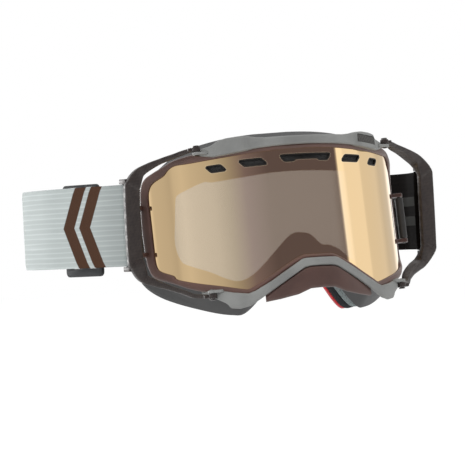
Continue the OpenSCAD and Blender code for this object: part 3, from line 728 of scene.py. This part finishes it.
def makeGuard(g):
    s = g["tip"] * np.arange(-g["cuts"], g["cuts"] + 1) / g["cuts"]
    a = np.abs(s)
    bow = g["bow"] * (1 - (a / g["tip"]) ** 2)
    c, h, low = g["chamfer"], bow + g["thick"], edgeAt(a, guardLow)
    top = np.maximum(edgeAt(a, chinLow) - g["gap"], low + 2 * c + 0.1)
    # the last three corners are a lip that runs up behind the chin trim
    corners = [(low, bow), (low, h - c), (low + c, h), (top - c, h), (top, h - c), (top, g["lipFront"]),
        (top + g["lip"], g["lipFront"]), (top + g["lip"], g["lipBack"]), (top - g["lipUnder"], g["lipBack"])]
    rows = np.stack([onLens(s, z, k) for z, k in corners], 1)
    piece = loft("noseGuardShield", rounded(rows, g["soft"], 2), ring=False)
    return finish(piece, "frame", guardRubber, "guard_plastic", "nose_guard")


makeGuard(noseGuard)
print("trims and nose guard")


# Lenses: cylindrical panes cut to the outline
# Each vent: arc length, height, width, the slants of its ends, and the width of the notch in its lower edge
lens = {"lap": 1.5, "thick": 1.0, "gap": 3.0, "pane": 0.8, "drop": 11.0, "ventHigh": 3.4, "notch": 1.2, "side": 106.7,
    "step": 1.2, "rows": 56, "cutter": 4, "filterOver": 1.4, "filterFront": 0.4, "filterBack": 2.4,
    "vents": [(57.3, -3.1, 9, 3.2, 3.2, 0), (34.3, -2.1, 13.5, 3.2, 3.2, 0), (0, -1.2, 31.6, -2.4, 2.4, 15),
    (-34.3, -2.1, 13.5, -3.2, -3.2, 0), (-57.3, -3.1, 9, -3.2, -3.2, 0)]}
lensTopLine, lensLowLine = lensEdge[:11], lensEdge[12:][::-1]


def paneRows(s, h0, h1, drop=0.0, rows=1):
    side, out = s["side"], s["lap"]
    n = math.ceil((side + out) / s["step"])
    at = (side + out) * np.arange(-n, n + 1) / n
    a = np.minimum(np.abs(at), side)
    top, low = edgeAt(a, lensTopLine) + out - drop, edgeAt(a, lensLowLine) - out
    up = [mix(low, top, k / rows) for k in range(rows + 1)]
    return np.stack([onLens(at, z, h1) for z in up] + [onLens(at, z, h0) for z in up[::-1]], 1)


def unrolled(points):
    # the arc length and height on the lens of points in metres
    x, y, z = (points * 1000 - apex).T
    flat = y * math.cos(rake) - z * math.sin(rake)
    return np.stack((lensR * np.arctan2(x, lensR - flat), z * math.cos(rake) + y * math.sin(rake)), 1)


def depthIn(points, outline):
    # distance to an outline, positive inside it
    line = np.asarray(outline, float)
    near, inside = np.full(len(points), 1e9), np.zeros(len(points), bool)
    for a, b in zip(line, np.roll(line, -1, 0)):
        t = np.clip(((points - a) @ (b - a)) / ((b - a) @ (b - a)), 0, 1)
        near = np.minimum(near, np.linalg.norm(points - a - t[:, None] * (b - a), axis=1))
        if a[1] != b[1]:
            crosses = (a[1] > points[:, 1]) != (b[1] > points[:, 1])
            inside ^= crosses & (points[:, 0] < a[0] + (points[:, 1] - a[1]) * (b[0] - a[0]) / (b[1] - a[1]))
    return np.where(inside, near, -near)


def marked(piece, name, values):
    layer = piece.data.attributes.new(name, "FLOAT", "POINT")
    layer.data.foreach_set("value", np.ascontiguousarray(values, np.float32))


def ventOutline(vent, grow, s=lens):
    at, z, w, lean0, lean1, notch = vent
    h, c = s["ventHigh"] / 2, s["notch"]
    line = [(-(w + lean0) / 2, -h), ((w - lean1) / 2, -h), ((w + lean1) / 2, h), ((lean0 - w) / 2, h)]
    if notch:
        line[1:1] = [(-notch / 2 - c, -h), (-notch / 2, c - h), (notch / 2, c - h), (notch / 2 + c, -h)]
    line = np.array(line)
    line = line + np.sign(line) * grow
    dense = []
    for before, corner, after in zip(np.roll(line, 1, 0), line, np.roll(line, -1, 0)):
        # each corner becomes a short curve
        a, b = (corner + (p - corner) * min(0.3, 0.9 / np.linalg.norm(p - corner)) for p in (before, after))
        dense += [mix(mix(a, corner, t), mix(corner, b, t), t) for t in (0, 0.25, 0.5, 0.75, 1)]
    return [(at + x, z + y) for x, y in dense]


def ventBlock(vent, grow, h0, h1):
    outline = ventOutline(vent, grow)
    return loft("ventBlock", np.array([[onLens(x, y, h) for x, y in outline] for h in (h0, h1)]), ring=False)


# Where the light showing through the lens is painted onto the mirror, as [arc length, height]
paintedWindowOutline = [(-89.8, -44.6), (-88.0, -31.2), (-85.9, -17.9), (-83.7, -15.2), (-78.6, -13.6), (-71.6, -11.6),
    (-64.9, -10.2), (-60.2, -11.2), (-43.1, -10.7), (-24.5, -9.6), (-5.3, -9.5), (18.8, -10.2), (43.1, -10.7),
    (60.2, -11.2), (64.9, -10.2), (71.6, -11.6), (78.6, -13.6), (83.7, -15.2), (85.9, -17.9), (88.0, -31.2),
    (89.8, -44.6), (86.9, -55.6), (81.0, -59.7), (68.3, -65.4), (57.8, -71.2), (47.0, -73.4), (36.0, -71.5),
    (26.5, -66.8), (19.6, -62.2), (15.4, -59.0), (9.2, -56.2), (2.9, -55.3), (-2.2, -50.0), (-6.9, -47.8),
    (-15.9, -48.1), (-26.3, -57.1), (-34.6, -64.8), (-42.3, -70.7), (-50.3, -73.4), (-57.8, -71.2), (-68.3, -65.4),
    (-81.0, -59.7), (-86.9, -55.6)]


def makeLens(s):
    outer = loft("outerLensPane", paneRows(s, -s["thick"], 0, rows=s["rows"]), ring=False)
    for vent in s["vents"]:
        cutBy(outer, ventBlock(vent, 0, -s["cutter"], s["cutter"]))
    places = np.zeros(len(outer.data.vertices) * 3)
    outer.data.vertices.foreach_get("co", places)
    places = unrolled(places.reshape(-1, 3))
    # the outline of the painted window light, as distance inside it
    marked(outer, "clear", depthIn(places, smoothLine(paintedWindowOutline, 3, ring=True)))
    marked(outer, "vent", -np.max([depthIn(places, ventOutline(vent, 0)) for vent in s["vents"]], axis=0))
    finish(outer, "frame", lensMirror, "lens_mirror", "outer_lens", angle=30)
    low = -s["thick"] - s["gap"] - s["pane"]
    inner = loft("innerLensPane", paneRows(s, low, low + s["pane"], drop=s["drop"]), ring=False)
    finish(inner, "frame", lensInner, "lens_clear", "inner_lens", angle=30)
    front, back = (-s["thick"] - s[k] for k in ("filterFront", "filterBack"))
    filters = [bevelled(ventBlock(vent, s["filterOver"], back, front), 0.3) for vent in s["vents"]]
    piece = finish(joined("ventFilters", filters), "frame", ventFoam, "vent_foam", "lens_vent_foam")


def mirrorCoat():
    # a gold mirror; where the frame is open behind it, the paler inside that shows through is painted on as a paler,
    # less metallic patch
    gold, ink = tint(238, 207, 160), tint(34, 30, 27)
    look = Look("goldMirror", Base_Color=gold, Metallic=1.0, Roughness=0.03, Specular_IOR_Level=0.3)
    clear, vent = (look.node("ShaderNodeAttribute", {"attribute_name": k}, out="Fac") for k in ("clear", "vent"))
    x = look.axes(look.place())[0]
    # painted light: a paler, less metallic patch for the inside seen through the lens, faded out right of the middle
    paintedWindowLight = clear.step(-0.5, 0.4) * (1 - x.step(0.014, 0.03))
    # each vent has a dark printed border, and a bright line round that
    border, rim = 1 - vent.step(0.75, 0.95), (1 - vent.step(1.1, 1.4)) * 0.4
    base = look.blend(paintedWindowLight, gold, tint(231, 212, 184))
    look.put("Base Color", look.blend(border, look.blend(rim, base, tint(252, 232, 196)), ink))
    look.put("Metallic", (1 - paintedWindowLight * 0.17 - rim * 0.1) * (1 - border))
    smear = look.cloud(26.0, 2.0)
    look.put("Roughness", smear * 0.02 + 0.015 + border * 0.4)
    return look.material


def tintedPane():
    # the inner pane: a smoke tint, faintly uneven
    look = Look("tintedPane", Base_Color=tint(150, 135, 122), Roughness=0.25, Alpha=0.9)
    soft = look.cloud(18.0, 2.0)
    look.put("Base Color", look.blend(soft.step(0.3, 0.7), tint(140, 124, 112), tint(158, 142, 128)))
    return look.material


lensMirror, lensInner = mirrorCoat(), tintedPane()
makeLens(lens)
dress("lens_gasket", gasketRubber)

# Foam strips inside the frame's walls
# Each strip: its name, its node, its sides, its stations along the wall's loop, and its top and bottom over the wall
ventStrips = {"loopCuts": 3, "wall": 2.5, "behind": -7.55, "from": 0.1, "to": 0.65, "soft": 0.6,
    "strips": [("topVentFoam", "top_vent_foam", (1,), range(-8, 9), -0.4, -2.9),
        ("lowVentFoam", "bottom_vent_foam", (1, -1), range(50, 58), 2.9, 0.4)]}


def makeStrips(s):
    edges = (lensEdge, ringEdge, rearEdge, openingEdge)
    lensLine, ringLine, rearLine, holeLine = (wholeLoop(k, s["loopCuts"]) for k in edges)
    wide = np.linalg.norm(ringLine - lensLine, axis=1, keepdims=True)
    front = atLoop(onLens, toward(lensLine, ringLine, wide - s["wall"]), s["behind"])
    back = atLoop(onFace, toward(rearLine, holeLine, s["wall"]), s["wall"])
    up = onLens(0, 1, 0) - onLens(0, 0, 0)
    for name, node, flips, stations, top, low in s["strips"]:
        parts = []
        for flip in flips:
            rows = []
            for k in stations:
                a, b = (mix(front[k], back[k], t) for t in (s["from"], s["to"]))
                rows.append([p + up * h for p, h in ((a, low), (a, top), (b, top), (b, low))])
            rows = np.array(rows) * np.array((flip, 1, 1))
            parts.append(loft("strip", rounded(rows, [s["soft"]] * 4, 2), ring=False))
        piece = finish(joined(name, parts), "frame", ventFoam, "vent_foam", node)


makeStrips(ventStrips)
print("lenses and vents")


# Outriggers
# The arms' stations: place, width, depth and roll
outrigger = {"armTop": [(71.5, 26, 4.9, 2.8, 5.6, -10), (76, 29.5, 3.1, 2.8, 7.8, -10), (83, 33.2, 0.6, 3.2, 9, -10),
    (90, 36.3, -2.6, 4.8, 9, -10), (96, 38.2, -6.4, 6.4, 8, -8)], "armLow": [(96, 39.4, -69.6, 6, 8, -8),
    (90, 37, -73, 4.6, 9, -10), (83, 31.4, -76.4, 3.2, 8.2, -10), (77.2, 24, -79.5, 2.8, 6.2, -10),
    (72.6, 16, -82.4, 2.6, 4.2, -6)], "armStart": (2.5, 1.5, 0), "armEnd": (2.6, 3.2, 0), "cuts": 8,
    "soft": (1.0, 1.0, 1.2, 1.2), "barX": 101.2, "barY": 37.7, "barTop": -12.1, "barLow": -62.7, "barWide": 9.6,
    "barDeep": 4.6, "barEnd": 0.6, "corner": 3.4, "rodIn": 0.3, "rodY": 46, "rod": 2.0, "lugRound": 1.8,
    "lugThick": 3.0, "lugFoot": (-3.8, 4.0), "eyeIn": 0.4,
    "eyeRoot": [(1.2, -0.05), (5.2, -0.05), (5.2, 2.35), (1.2, 2.35)]}


def eyePlace(z):
    # an arm's end on its pivot's eye
    return tuple(leant((*trims["hinge"], z)) + outrigger["armStart"]) + outrigger["armEnd"]


def makeOutrigger(s):
    x, y, w, d, end, c = s["barX"], s["barY"], s["barWide"], s["barDeep"], s["barEnd"], s["corner"]
    top, low = s["barTop"], s["barLow"]
    bar = [(x - 1, y - end, top - end, w - 0.2, d, 0), (x, y, top - 2 * c, w, d, 0), (x, y, low + 2 * c, w, d, 0),
        (x - 1, y - end, low + end, w - 0.2, d, 0)]
    line = [eyePlace(trims["eyeTop"])] + s["armTop"] + bar + s["armLow"] + [eyePlace(trims["eyeLow"])]
    path = smoothLine(line, s["cuts"])
    rows = []
    for i, p in enumerate(path):
        # a section square to the arm, with its flat side forward, then rolled
        way = unit(path[min(i + 1, len(path) - 1)][:3] - path[max(i - 1, 0)][:3])
        front = unit(np.array((0, -1, 0)) - way * (way @ (0, -1, 0)))
        roll = math.radians(p[5])
        front = front * math.cos(roll) + np.cross(way, front) * math.sin(roll)
        across = np.cross(way, front)
        corners = ((-p[3], -p[4]), (p[3], -p[4]), (p[3], p[4]), (-p[3], p[4]))
        rows.append([level(p[:3] + across * a / 2 + front * b / 2) for a, b in corners])
    parts = [loft("outriggerArm", rounded(np.array(rows), s["soft"]), ring=False)]
    rodX, lugR = x + s["rodIn"], s["rod"] + s["lugRound"]
    curve = [(rodX + lugR * math.cos(t), s["rodY"] + lugR * math.sin(t)) for t in np.linspace(0, math.pi, 13)]
    foot = [(x + k, y) for k in s["lugFoot"]]
    for z in (top, low - s["lugThick"]):
        parts.append(slab("rodLug", foot + curve, z, z + s["lugThick"], level, 0.4))
    bpy.ops.mesh.primitive_cylinder_add(vertices=40, radius=s["rod"] / 1000, depth=(top - low + 1) / 1000,
        location=level((rodX, s["rodY"], (top + low) / 2)))
    parts.append(settled())
    u, v = trims["hinge"]
    half = trims["eyeHigh"] / 2
    root = [(u + a, v + b) for a, b in s["eyeRoot"]]
    for z in (trims["eyeTop"], trims["eyeLow"]):
        parts.append(collar("eye", (u, v), trims["pin"], trims["eye"], z - half, z + half, leaning, 0.3))
        parts.append(slab("eyeRoot", root, z - half + s["eyeIn"], z + half - s["eyeIn"], leaning))
    makePair("outriggerSideArm", parts, "outrigger", armPlastic, "outrigger_plastic", angle=38)


def wovenPlastic():
    # dark plastic with the look of fine twill pressed into its front
    look = Look("wovenPlastic", Base_Color=tint(62, 50, 48), Roughness=0.5)
    x, _, z = look.axes(look.place())
    twill = ((x + z) / 0.0016 * math.tau).sine() * ((x - z) / 0.0021 * math.tau).sine() * 0.5 + 0.5
    blotch, fine = look.cloud(260.0, 3.0, 0.7), look.cloud(1600.0, 2.0)
    mask = (twill * 0.5 + blotch * 0.6 + fine * 0.2).step(0.35, 0.95)
    look.put("Base Color", look.blend(mask, tint(26, 20, 18), tint(54, 45, 41)))
    look.put("Roughness", 0.62 - mask * 0.2)
    look.relief(twill * 0.6 + fine * 0.4, 0.08, 0.5)
    return look.material


armPlastic = wovenPlastic()
makeOutrigger(outrigger)

lever = {"plate": [(-0.55, 0.9), (1.65, 0.9), (1.65, 6.3), (1.21, 8.5), (0.1, 8.5), (-0.55, 6.9)], "turn": 7,
    "ridges": 3, "pitch": 1.3, "ridgeAt": (1.65, 5.9), "ridgeIn": 3,
    "ridge": [(-0.3, -0.3), (0.28, -0.25), (0.28, 0.25), (-0.3, 0.3)]}


def makeLevers(s):
    (x, y), z, half = lensFrame["lockAt"], lensFrame["lockZ"], lensFrame["leverHigh"] / 2
    t = math.radians(-s["turn"])
    turn = lambda a, b: (x + a * math.cos(t) - b * math.sin(t), y + a * math.sin(t) + b * math.cos(t))
    parts = [collar("lensLockEye", (x, y), lensFrame["pin"], lensFrame["eye"], z - half, z + half, leaning, 0.4),
        slab("plate", [turn(a, b) for a, b in s["plate"]], z - half, z + half, leaning, 0.6)]
    for k in range(s["ridges"]):
        u, v = turn(s["ridgeAt"][0], s["ridgeAt"][1] - k * s["pitch"])
        ridge = [(u + a, v + b) for a, b in s["ridge"]]
        parts.append(slab("ridge", ridge, z - half + s["ridgeIn"], z + half - s["ridgeIn"], leaning, 0.15))
    makePair("lensLockSideLever", parts, "lens_lock", leverPlastic, "grey_trim")


makeLevers(lever)
for node in ("outrigger_pins", "lens_lock_pins"):
    dress(node, pinSteel)
print("outriggers and levers")


# Strap: its middle line in plan, as the source of the solids has it
strap = {"wide": 50, "thick": 1.6, "top": -12.4, "loopX": 127, "loopY": 151, "straightY": 104, "middleY": 121,
    "sliderAt": 43, "sliderThick": 2.4, "rodGap": 0.4, "gap": 0.3, "tail": 12, "bar": 8, "overlap": 0.1,
    "endThin": 0.94, "selvedge": ((0, 0.5, 1.2), (0.35, 0.85, 1.0)), "bendFrom": 240, "bendTo": 108,
    "foldFrom": 50, "foldTo": 66}
rodAt = np.array((outrigger["barX"] + outrigger["rodIn"], outrigger["rodY"]))
turnR = outrigger["rod"] + strap["rodGap"] + strap["thick"] / 2
barR = strap["sliderThick"] / 2 + strap["gap"] + strap["thick"] / 2
bendY = strap["middleY"] - strap["straightY"]
flareX = strap["loopX"] - rodAt[0]
flareM = bendY ** 2 + 2 * bendY * (strap["straightY"] - rodAt[1])
flareQ = flareM ** 2 - (2 * bendY * turnR) ** 2
flareK = (flareX * flareM - math.sqrt((flareX * flareM) ** 2 - flareQ * (flareX ** 2 - turnR ** 2))) / flareQ
flare = math.atan(2 * flareK * bendY)
along, outwards = np.array((math.sin(flare), math.cos(flare))), np.array((math.cos(flare), -math.sin(flare)))
sliderIn = turnR - 1.5 * strap["thick"] - 2 * strap["gap"] - strap["sliderThick"] / 2
sliderMid = rodAt + along * strap["sliderAt"] + outwards * sliderIn


def bandX(y):
    curved, straight = (strap["middleY"] - y) ** 2, bendY ** 2 + 2 * bendY * (strap["straightY"] - y)
    return strap["loopX"] - flareK * np.where(y > strap["straightY"], curved, straight)


def arc(c, r, a0, a1, n):
    a = np.linspace(a0, a1, n + 1)
    return c + r * np.stack((np.cos(a), np.sin(a)), 1)


def bandHalf():
    first, middle = strap["straightY"], strap["middleY"]
    y = np.concatenate((np.linspace(rodAt[1], first, 17)[1:], np.linspace(first, middle, 9)[1:]))
    # each half runs a little past the middle, into the other
    a = np.radians(np.linspace(0, 90 + strap["overlap"], 49)[1:])
    rear = np.stack((strap["loopX"] * np.cos(a), middle + strap["loopY"] * np.sin(a)), 1)
    return np.concatenate((np.stack((bandX(y), y), 1), rear))


tailIn = outwards * (turnR - strap["thick"] - strap["gap"])
rodTurn = arc(rodAt, turnR, math.pi - flare, math.tau - flare, 20)
rightHalf = np.concatenate(([rodAt + along * strap["tail"] + tailIn, rodAt + along * strap["tail"] * 0.6 + tailIn,
    rodAt + along * 2 - outwards * turnR], rodTurn, bandHalf()))
foldBack = np.concatenate(([sliderMid + outwards * barR - along * (strap["bar"] / 2 + 1)],
    arc(sliderMid + along * (strap["bar"] / 2 - 0.5), barR, -flare, math.pi - flare, 14),
    [mix(sliderMid - outwards * barR, rodAt - outwards * turnR, t) for t in np.linspace(0, 1, 9)[1:]]))
leftHalf = np.concatenate((rodTurn[10:], bandHalf()))
foldHalf = np.concatenate((foldBack[:-1], rodTurn[:11]))


def inwardOf(path):
    way = unit(np.gradient(path, axis=0))
    return np.stack((-way[:, 1], way[:, 0]), 1)


def resampled(path, step):
    d = np.concatenate(([0], np.cumsum(np.linalg.norm(np.diff(path, axis=0), axis=1))))
    keep = np.linspace(0, d[-1], max(4, math.ceil(d[-1] / step)))
    return np.stack([np.interp(keep, d, path[:, k]) for k in (0, 1)], 1), keep


def band(name, path, materials, flip=1, step=1.6, low=strap["top"] - strap["wide"], high=strap["top"],
        thick=strap["thick"], paintedShadeTo=0.0):
    # webbing along a path in plan, a closed strip with soft selvedges and its own map in metres; the second
    # material covers the inner face and both selvedges, and the outer face too up to a length, where it is painted
    # shade
    path, at = resampled(path, step)
    side = inwardOf(path)
    # the last end is a little thinner, where it runs into the next piece
    side[-1] *= strap["endThin"]
    z = np.linspace(low, high, 15)
    soft = np.interp(np.minimum(z - low, high - z), *strap["selvedge"]) * thick / 2
    rows, places = [], []
    for p, n, u in zip(path, side, at):
        loop = [(p + n * k, h) for h, k in zip(z, soft)] + [(p - n * k, h) for h, k in zip(z[::-1], soft[::-1])]
        rows.append([level((q[0] * flip, q[1], h)) for q, h in loop])
        places += [(u / 1000, h / 1000) for _, h in loop]
    piece = loft(name, np.array(rows), ring=False)
    layer = piece.data.uv_layers.active
    corners = np.zeros(len(piece.data.loops), int)
    piece.data.loops.foreach_get("vertex_index", corners)
    layer.data.foreach_set("uv", np.array(places, np.float32)[corners].reshape(-1))
    for material in materials:
        piece.data.materials.append(material)
    if len(materials) > 1:
        count = len(z) * 2
        cloth = np.ones(len(piece.data.polygons), np.int32)
        for f in piece.data.polygons:
            j = sorted(v % count for v in f.vertices)
            if len(f.vertices) == 4 and j[0] >= len(z) and at[min(f.vertices) // count] >= paintedShadeTo:
                cloth[f.index] = 0
        piece.data.polygons.foreach_set("material_index", cloth)
    use(piece)
    bpy.ops.object.shade_smooth_by_angle(angle=math.radians(50))
    return piece


# the chevrons, and the colour and reach of the painted shade towards the rod
motif = {"middle": -0.0374, "slant": 0.5, "edge": 0.0003, "bars": [(0.0355, 0.0105), (0.0505, 0.0105)],
    "brown": ((56, 33, 18), (69, 43, 26)), "paintedRodShade": (216, 216, 216), "fade": 0.055}
webOut = motifWebbing(motif)
webPlain = webbing("plainWebbing", *paleYarn)[0].material
webBlack = webbing("blackWebbing", (10, 8, 7), (15, 12, 11), sheen=0.0, shine=0.02)[0].material


def depthPlace(y):
    return tuple(level((0, y, 0)))


def lengthOf(path):
    return float(np.linalg.norm(np.diff(path, axis=0), axis=1).sum())


def makeStrap(s):
    # painted shade: the right half's outer face is dark over its tail and its turn round the rod
    paintedShadeLength = lengthOf(rightHalf[:14])
    for name, path, cloth, flip, side, paintedShadeTo in (
            ("strapRightHalf", rightHalf, webPlain, 1, "outrigger_right", paintedShadeLength),
            ("strapLeftHalf", leftHalf, webOut, -1, "outrigger_left", 0.0)):
        half = band(name, path, [cloth, webBlack], flip=flip, paintedShadeTo=paintedShadeTo)
        depthPlace(s["bendFrom"])
        depthPlace(s["bendTo"])
        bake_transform(half)
        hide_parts("strap")
        lengthOf(path) / 1000
        print(name, round(lengthOf(path)), "mm long")
    fold = band("strapFold", foldHalf, [webPlain, webBlack], flip=-1, step=0.9)
    depthPlace(s["foldFrom"])
    depthPlace(s["foldTo"])
    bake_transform(fold)
    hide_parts("strap")
    lengthOf(foldHalf) / 1000
    print("strapFold", round(lengthOf(foldHalf)), "mm long")


makeStrap(strap)
print("strap")

grips = {"wide": 6, "thick": 0.6, "gap": 12.6, "clear": 0.05, "step": 2.5}


def makeGrips(s):
    tailY = (rodAt + along * strap["tail"])[1]
    half = bandHalf()
    rightPath = half[half[:, 1] > tailY + 1]
    leftPath = half[half[:, 1] > sliderMid[1] + strap["bar"]]
    for name, path, flip, side in (("gripsRight", rightPath, 1, "outrigger_right"),
            ("gripsLeft", leftPath, -1, "outrigger_left")):
        inside = path + inwardOf(path) * (strap["thick"] / 2 + s["thick"] / 2 + s["clear"])
        parts = []
        for k in (-1, 1):
            low = strap["top"] - strap["wide"] / 2 + k * s["gap"] / 2 - s["wide"] / 2
            parts.append(band(name, inside, [silicone], flip, s["step"], low, low + s["wide"], s["thick"]))
        piece = joined(name, parts)
        depthPlace(strap["bendFrom"])
        depthPlace(strap["bendTo"])
        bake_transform(piece)
        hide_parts("grip_strips")


makeGrips(grips)

tacks = {"size": (0.4, 1.6, 9.0), "seat": 0.15, "rows": (0.18, 0.5, 0.82), "stitches": 15, "tilt": 0.25, "arch": 0.12,
    "yarn": (0.14, 0.2), "sewnAt": 0.8, "foldedIn": 1, "end": 0.3}


def makeTacks(s):
    # zigzag bar tacks: a row of small stitches across the webbing
    (thick, long, high), half = s["size"], s["stitches"] // 2
    rise = (strap["thick"] + thick + s["seat"]) / 2
    sewn = rodAt + along * strap["tail"] * s["sewnAt"] + tailIn - outwards * rise
    folded = sliderMid - outwards * (barR + rise) - along * (strap["bar"] / 2 + s["foldedIn"])
    for name, at, flip, body, node in (("strapTacks", sewn, 1, "outrigger_right", "strap_stitching"),
            ("sliderTacks", folded, -1, "slider", "slider_stitching")):
        parts = []
        for k in s["rows"]:
            z = strap["top"] - strap["wide"] * k
            for i in range(s["stitches"]):
                h = z + (i - half) / half * (high / 2 - s["end"])
                tilt = s["tilt"] if i % 2 else -s["tilt"]
                rows = []
                for t in np.linspace(0, 1, 6):
                    p, arch = at + along * long * (t - 0.5), math.sin(t * math.pi) * s["arch"]
                    row = []
                    for q in np.arange(6) / 6 * math.tau:
                        x, y = p - outwards * (arch + s["yarn"][0] * math.cos(q))
                        row.append(level((x * flip, y, h + (t - 0.5) * tilt * 2 + s["yarn"][1] * math.sin(q))))
                    rows.append(row)
                parts.append(loft("stitch", np.array(rows), ring=False))
        # the strap's sewn end gets no body, like the webbing that it holds
        swings = node == "strap_stitching"
        piece = finish(joined(name, parts), None if swings else body, thread, "thread", node, angle=60)
        if swings:
            depthPlace(strap["bendFrom"])
            depthPlace(strap["bendTo"])
            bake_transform(piece)


makeTacks(tacks)

slider = {"long": 34, "rail": 3.4, "free": 0.2, "thick": 2.4, "bar": 8, "slot": 7.4, "drop": 1.8, "edge": 0.7,
    "corner": 3.0, "cutter": 3}


def makeSlider(s):
    slotHigh = strap["wide"] + 2 * s["free"]
    high = slotHigh + 2 * s["rail"]
    middle = strap["top"] - strap["wide"] / 2

    def plate(name, outline, half):
        rows = []
        for d in (-half, half):
            places = [(sliderMid + along * u + outwards * d, h) for u, h in outline]
            rows.append([level((-x, y, middle + h)) for (x, y), h in places])
        return loft(name, np.array(rows), ring=False)

    c, quarter = s["corner"], math.pi / 2
    outline = []
    for sx, sz, a in ((1, -1, -quarter), (1, 1, 0), (-1, 1, quarter), (-1, -1, 2 * quarter)):
        x, z = sx * (s["long"] / 2 - c), sz * (high / 2 - c) - s["drop"]
        outline += [(x + c * math.cos(a + t), z + c * math.sin(a + t)) for t in np.linspace(0, quarter, 7)]
    piece = plate("sliderBody", outline, s["thick"] / 2)
    for side in (-1, 1):
        u, w, t = side * (s["bar"] / 2 + s["slot"] / 2), s["slot"] / 2, slotHigh / 2
        cutBy(piece, plate("slot", [(u - w, -t), (u + w, -t), (u + w, t), (u - w, t)], s["cutter"]))
    bevelled(piece, s["edge"], 3)
    finish(piece, "slider", sliderPlastic, "slider_plastic", "slider")


makeSlider(slider)
print("slider and stitches")


# Floor, light and camera
# The fitted camera: its directions, the lens's apex in front of it in millimetres, and its focal length in pixels
camera = {"right": (0.9078, -0.4160, -0.0527), "ahead": (0.4166, 0.9090, 0.0), "aside": 45.1, "above": 47.5,
    "far": 2064.0, "focal": 3374.0, "frame": 465, "sensor": 36}


def makeCamera(s):
    right, ahead = (np.array(s[k]) for k in ("right", "ahead"))
    right = unit(right)
    ahead = unit(ahead - right * (right @ ahead))
    up = np.cross(right, ahead)
    data = bpy.data.cameras.new("camera")
    data.sensor_width, data.lens = s["sensor"], s["focal"] / s["frame"] * s["sensor"]
    data.clip_start, data.clip_end = 0.05, 100
    view = bpy.data.objects.new("camera", data)
    bpy.context.scene.collection.objects.link(view)
    turn = Matrix(np.column_stack((right, up, -ahead)).tolist()).to_4x4()
    turn.translation = Vector(level(-(s["far"] * ahead + s["aside"] * right + s["above"] * up)))
    view.matrix_world = turn
    bpy.context.scene.camera = view


makeCamera(camera)

# Lamps as place, size and power, of which reflections show one; the card as bearing and brightness
studio = {"room": 0.75, "floor": -0.15, "floorSize": 12, "floorMix": 0.6, "floorGlow": 1.2, "shown": 4,
    "lamps": [((-1.3, -1.5, 1.5), 1.6, 18), ((1.5, -1.0, 1.1), 1.4, 11), ((0.2, 1.6, 1.5), 1.6, 12),
    ((-2.0, -0.3, 0.3), 1.0, 8), ((-1.0, 2.0, 0.1), 0.8, 25)], "cardRadius": 2.6, "cardHigh": 5.0,
    "dark": (0.12, 0.105, 0.145), "darkUnder": 0.3, "glow": 1.25, "card": [(-180, 1.25), (-116, 1.25), (-109, 0.64),
    (-97, 0.6), (-91, 0.55), (-87, 0.66), (-80, 0.71), (-72, 0.64), (-54, 0.55), (-42, 0.4), (-27, 0.21),
    (-18, 0.165), (-8, 0.12), (54.6, 0.12), (55.6, 1.22), (61, 1.2), (63, 1.02), (80, 1.02), (82, 0.84), (102, 0.82),
    (110, 0.68), (124, 0.68), (132, 1.25), (180, 1.25)]}


def lightRoom(s):
    # plain light on the object, and white where the room itself is seen
    scene = bpy.context.scene
    scene.view_settings.view_transform = "Standard"
    scene.world = scene.world or bpy.data.worlds.new("room")
    room = Room(scene.world)
    plain, white = (room.node("ShaderNodeBackground", None, {"Color": (1, 1, 1, 1), "Strength": k})
        for k in (s["room"], 1.0))
    both = room.node("ShaderNodeMixShader", None, {0: room.shown(), 1: plain, 2: white})
    room.put("Surface", both, room.end)
    for i, (place, wide, power) in enumerate(s["lamps"]):
        lamp = bpy.data.lights.new(f"lamp{i}", "AREA")
        lamp.size, lamp.energy = wide, power
        thing = bpy.data.objects.new(f"lamp{i}", lamp)
        scene.collection.objects.link(thing)
        thing.location = place
        thing.rotation_mode = "QUATERNION"
        thing.rotation_quaternion = Vector(place).to_track_quat("Z", "Y")
        thing.visible_glossy = i == s["shown"]


def makeStudio(s):
    lightRoom(s)
    bpy.ops.mesh.primitive_plane_add(size=s["floorSize"], location=(0, 0, s["floor"]))
    floor = settled()
    floor.name = "floor"
    floor.data.materials.append(floorLook(s))

    # a curved card round the goggles, seen in reflections alone: dark in front, where the room is, pale beside
    bpy.ops.mesh.primitive_cylinder_add(vertices=128, radius=s["cardRadius"], depth=s["cardHigh"],
        end_fill_type="NOTHING")
    card = bpy.context.object
    card.name = "reflectionCard"
    card.data.materials.append(cardLook(s))
    for ray in ("camera", "diffuse", "transmission", "shadow", "volume_scatter"):
        setattr(card, "visible_" + ray, False)

    for thing in bpy.context.scene.objects:
        # the lens mirrors the room, not the arms and the webbing beside it
        if thing.name.startswith(("strap", "grips", "outrigger", "slider", "lensLock")):
            thing.visible_glossy = False


def floorLook(s):
    # pale where it is seen, and it keeps the object's shadow
    look = Look("floorLook", Base_Color=(0.9, 0.9, 0.9, 1), Roughness=0.9)
    lit = Value(look, look.shader.outputs[0])
    glow = look.node("ShaderNodeEmission", None, {"Strength": s["floorGlow"]})
    both = look.node("ShaderNodeMixShader", None, {0: look.shown() * s["floorMix"], 1: lit, 2: glow})
    look.put("Surface", both, look.end)
    return look.material


def cardLook(s):
    stops = []
    for angle, light in s["card"]:
        # the dark part of the room is slightly tinted
        cast = [k / s["dark"][0] if light < s["darkUnder"] else 1 for k in s["dark"]]
        stops.append(((angle + 180) / 360, tuple(light / s["glow"] * k for k in cast) + (1,)))
    look = Look("cardLook")
    x, y, _ = look.axes(look.place())
    bearing = x.calc("ARCTAN2", x, -y) / math.tau + 0.5
    colour = look.node("ShaderNodeValToRGB", {"stops": stops}, {0: bearing})
    glow = look.node("ShaderNodeEmission", None, {"Color": colour, "Strength": s["glow"]})
    look.put("Surface", glow, look.end)
    return look.material


makeStudio(studio)
print("studio")
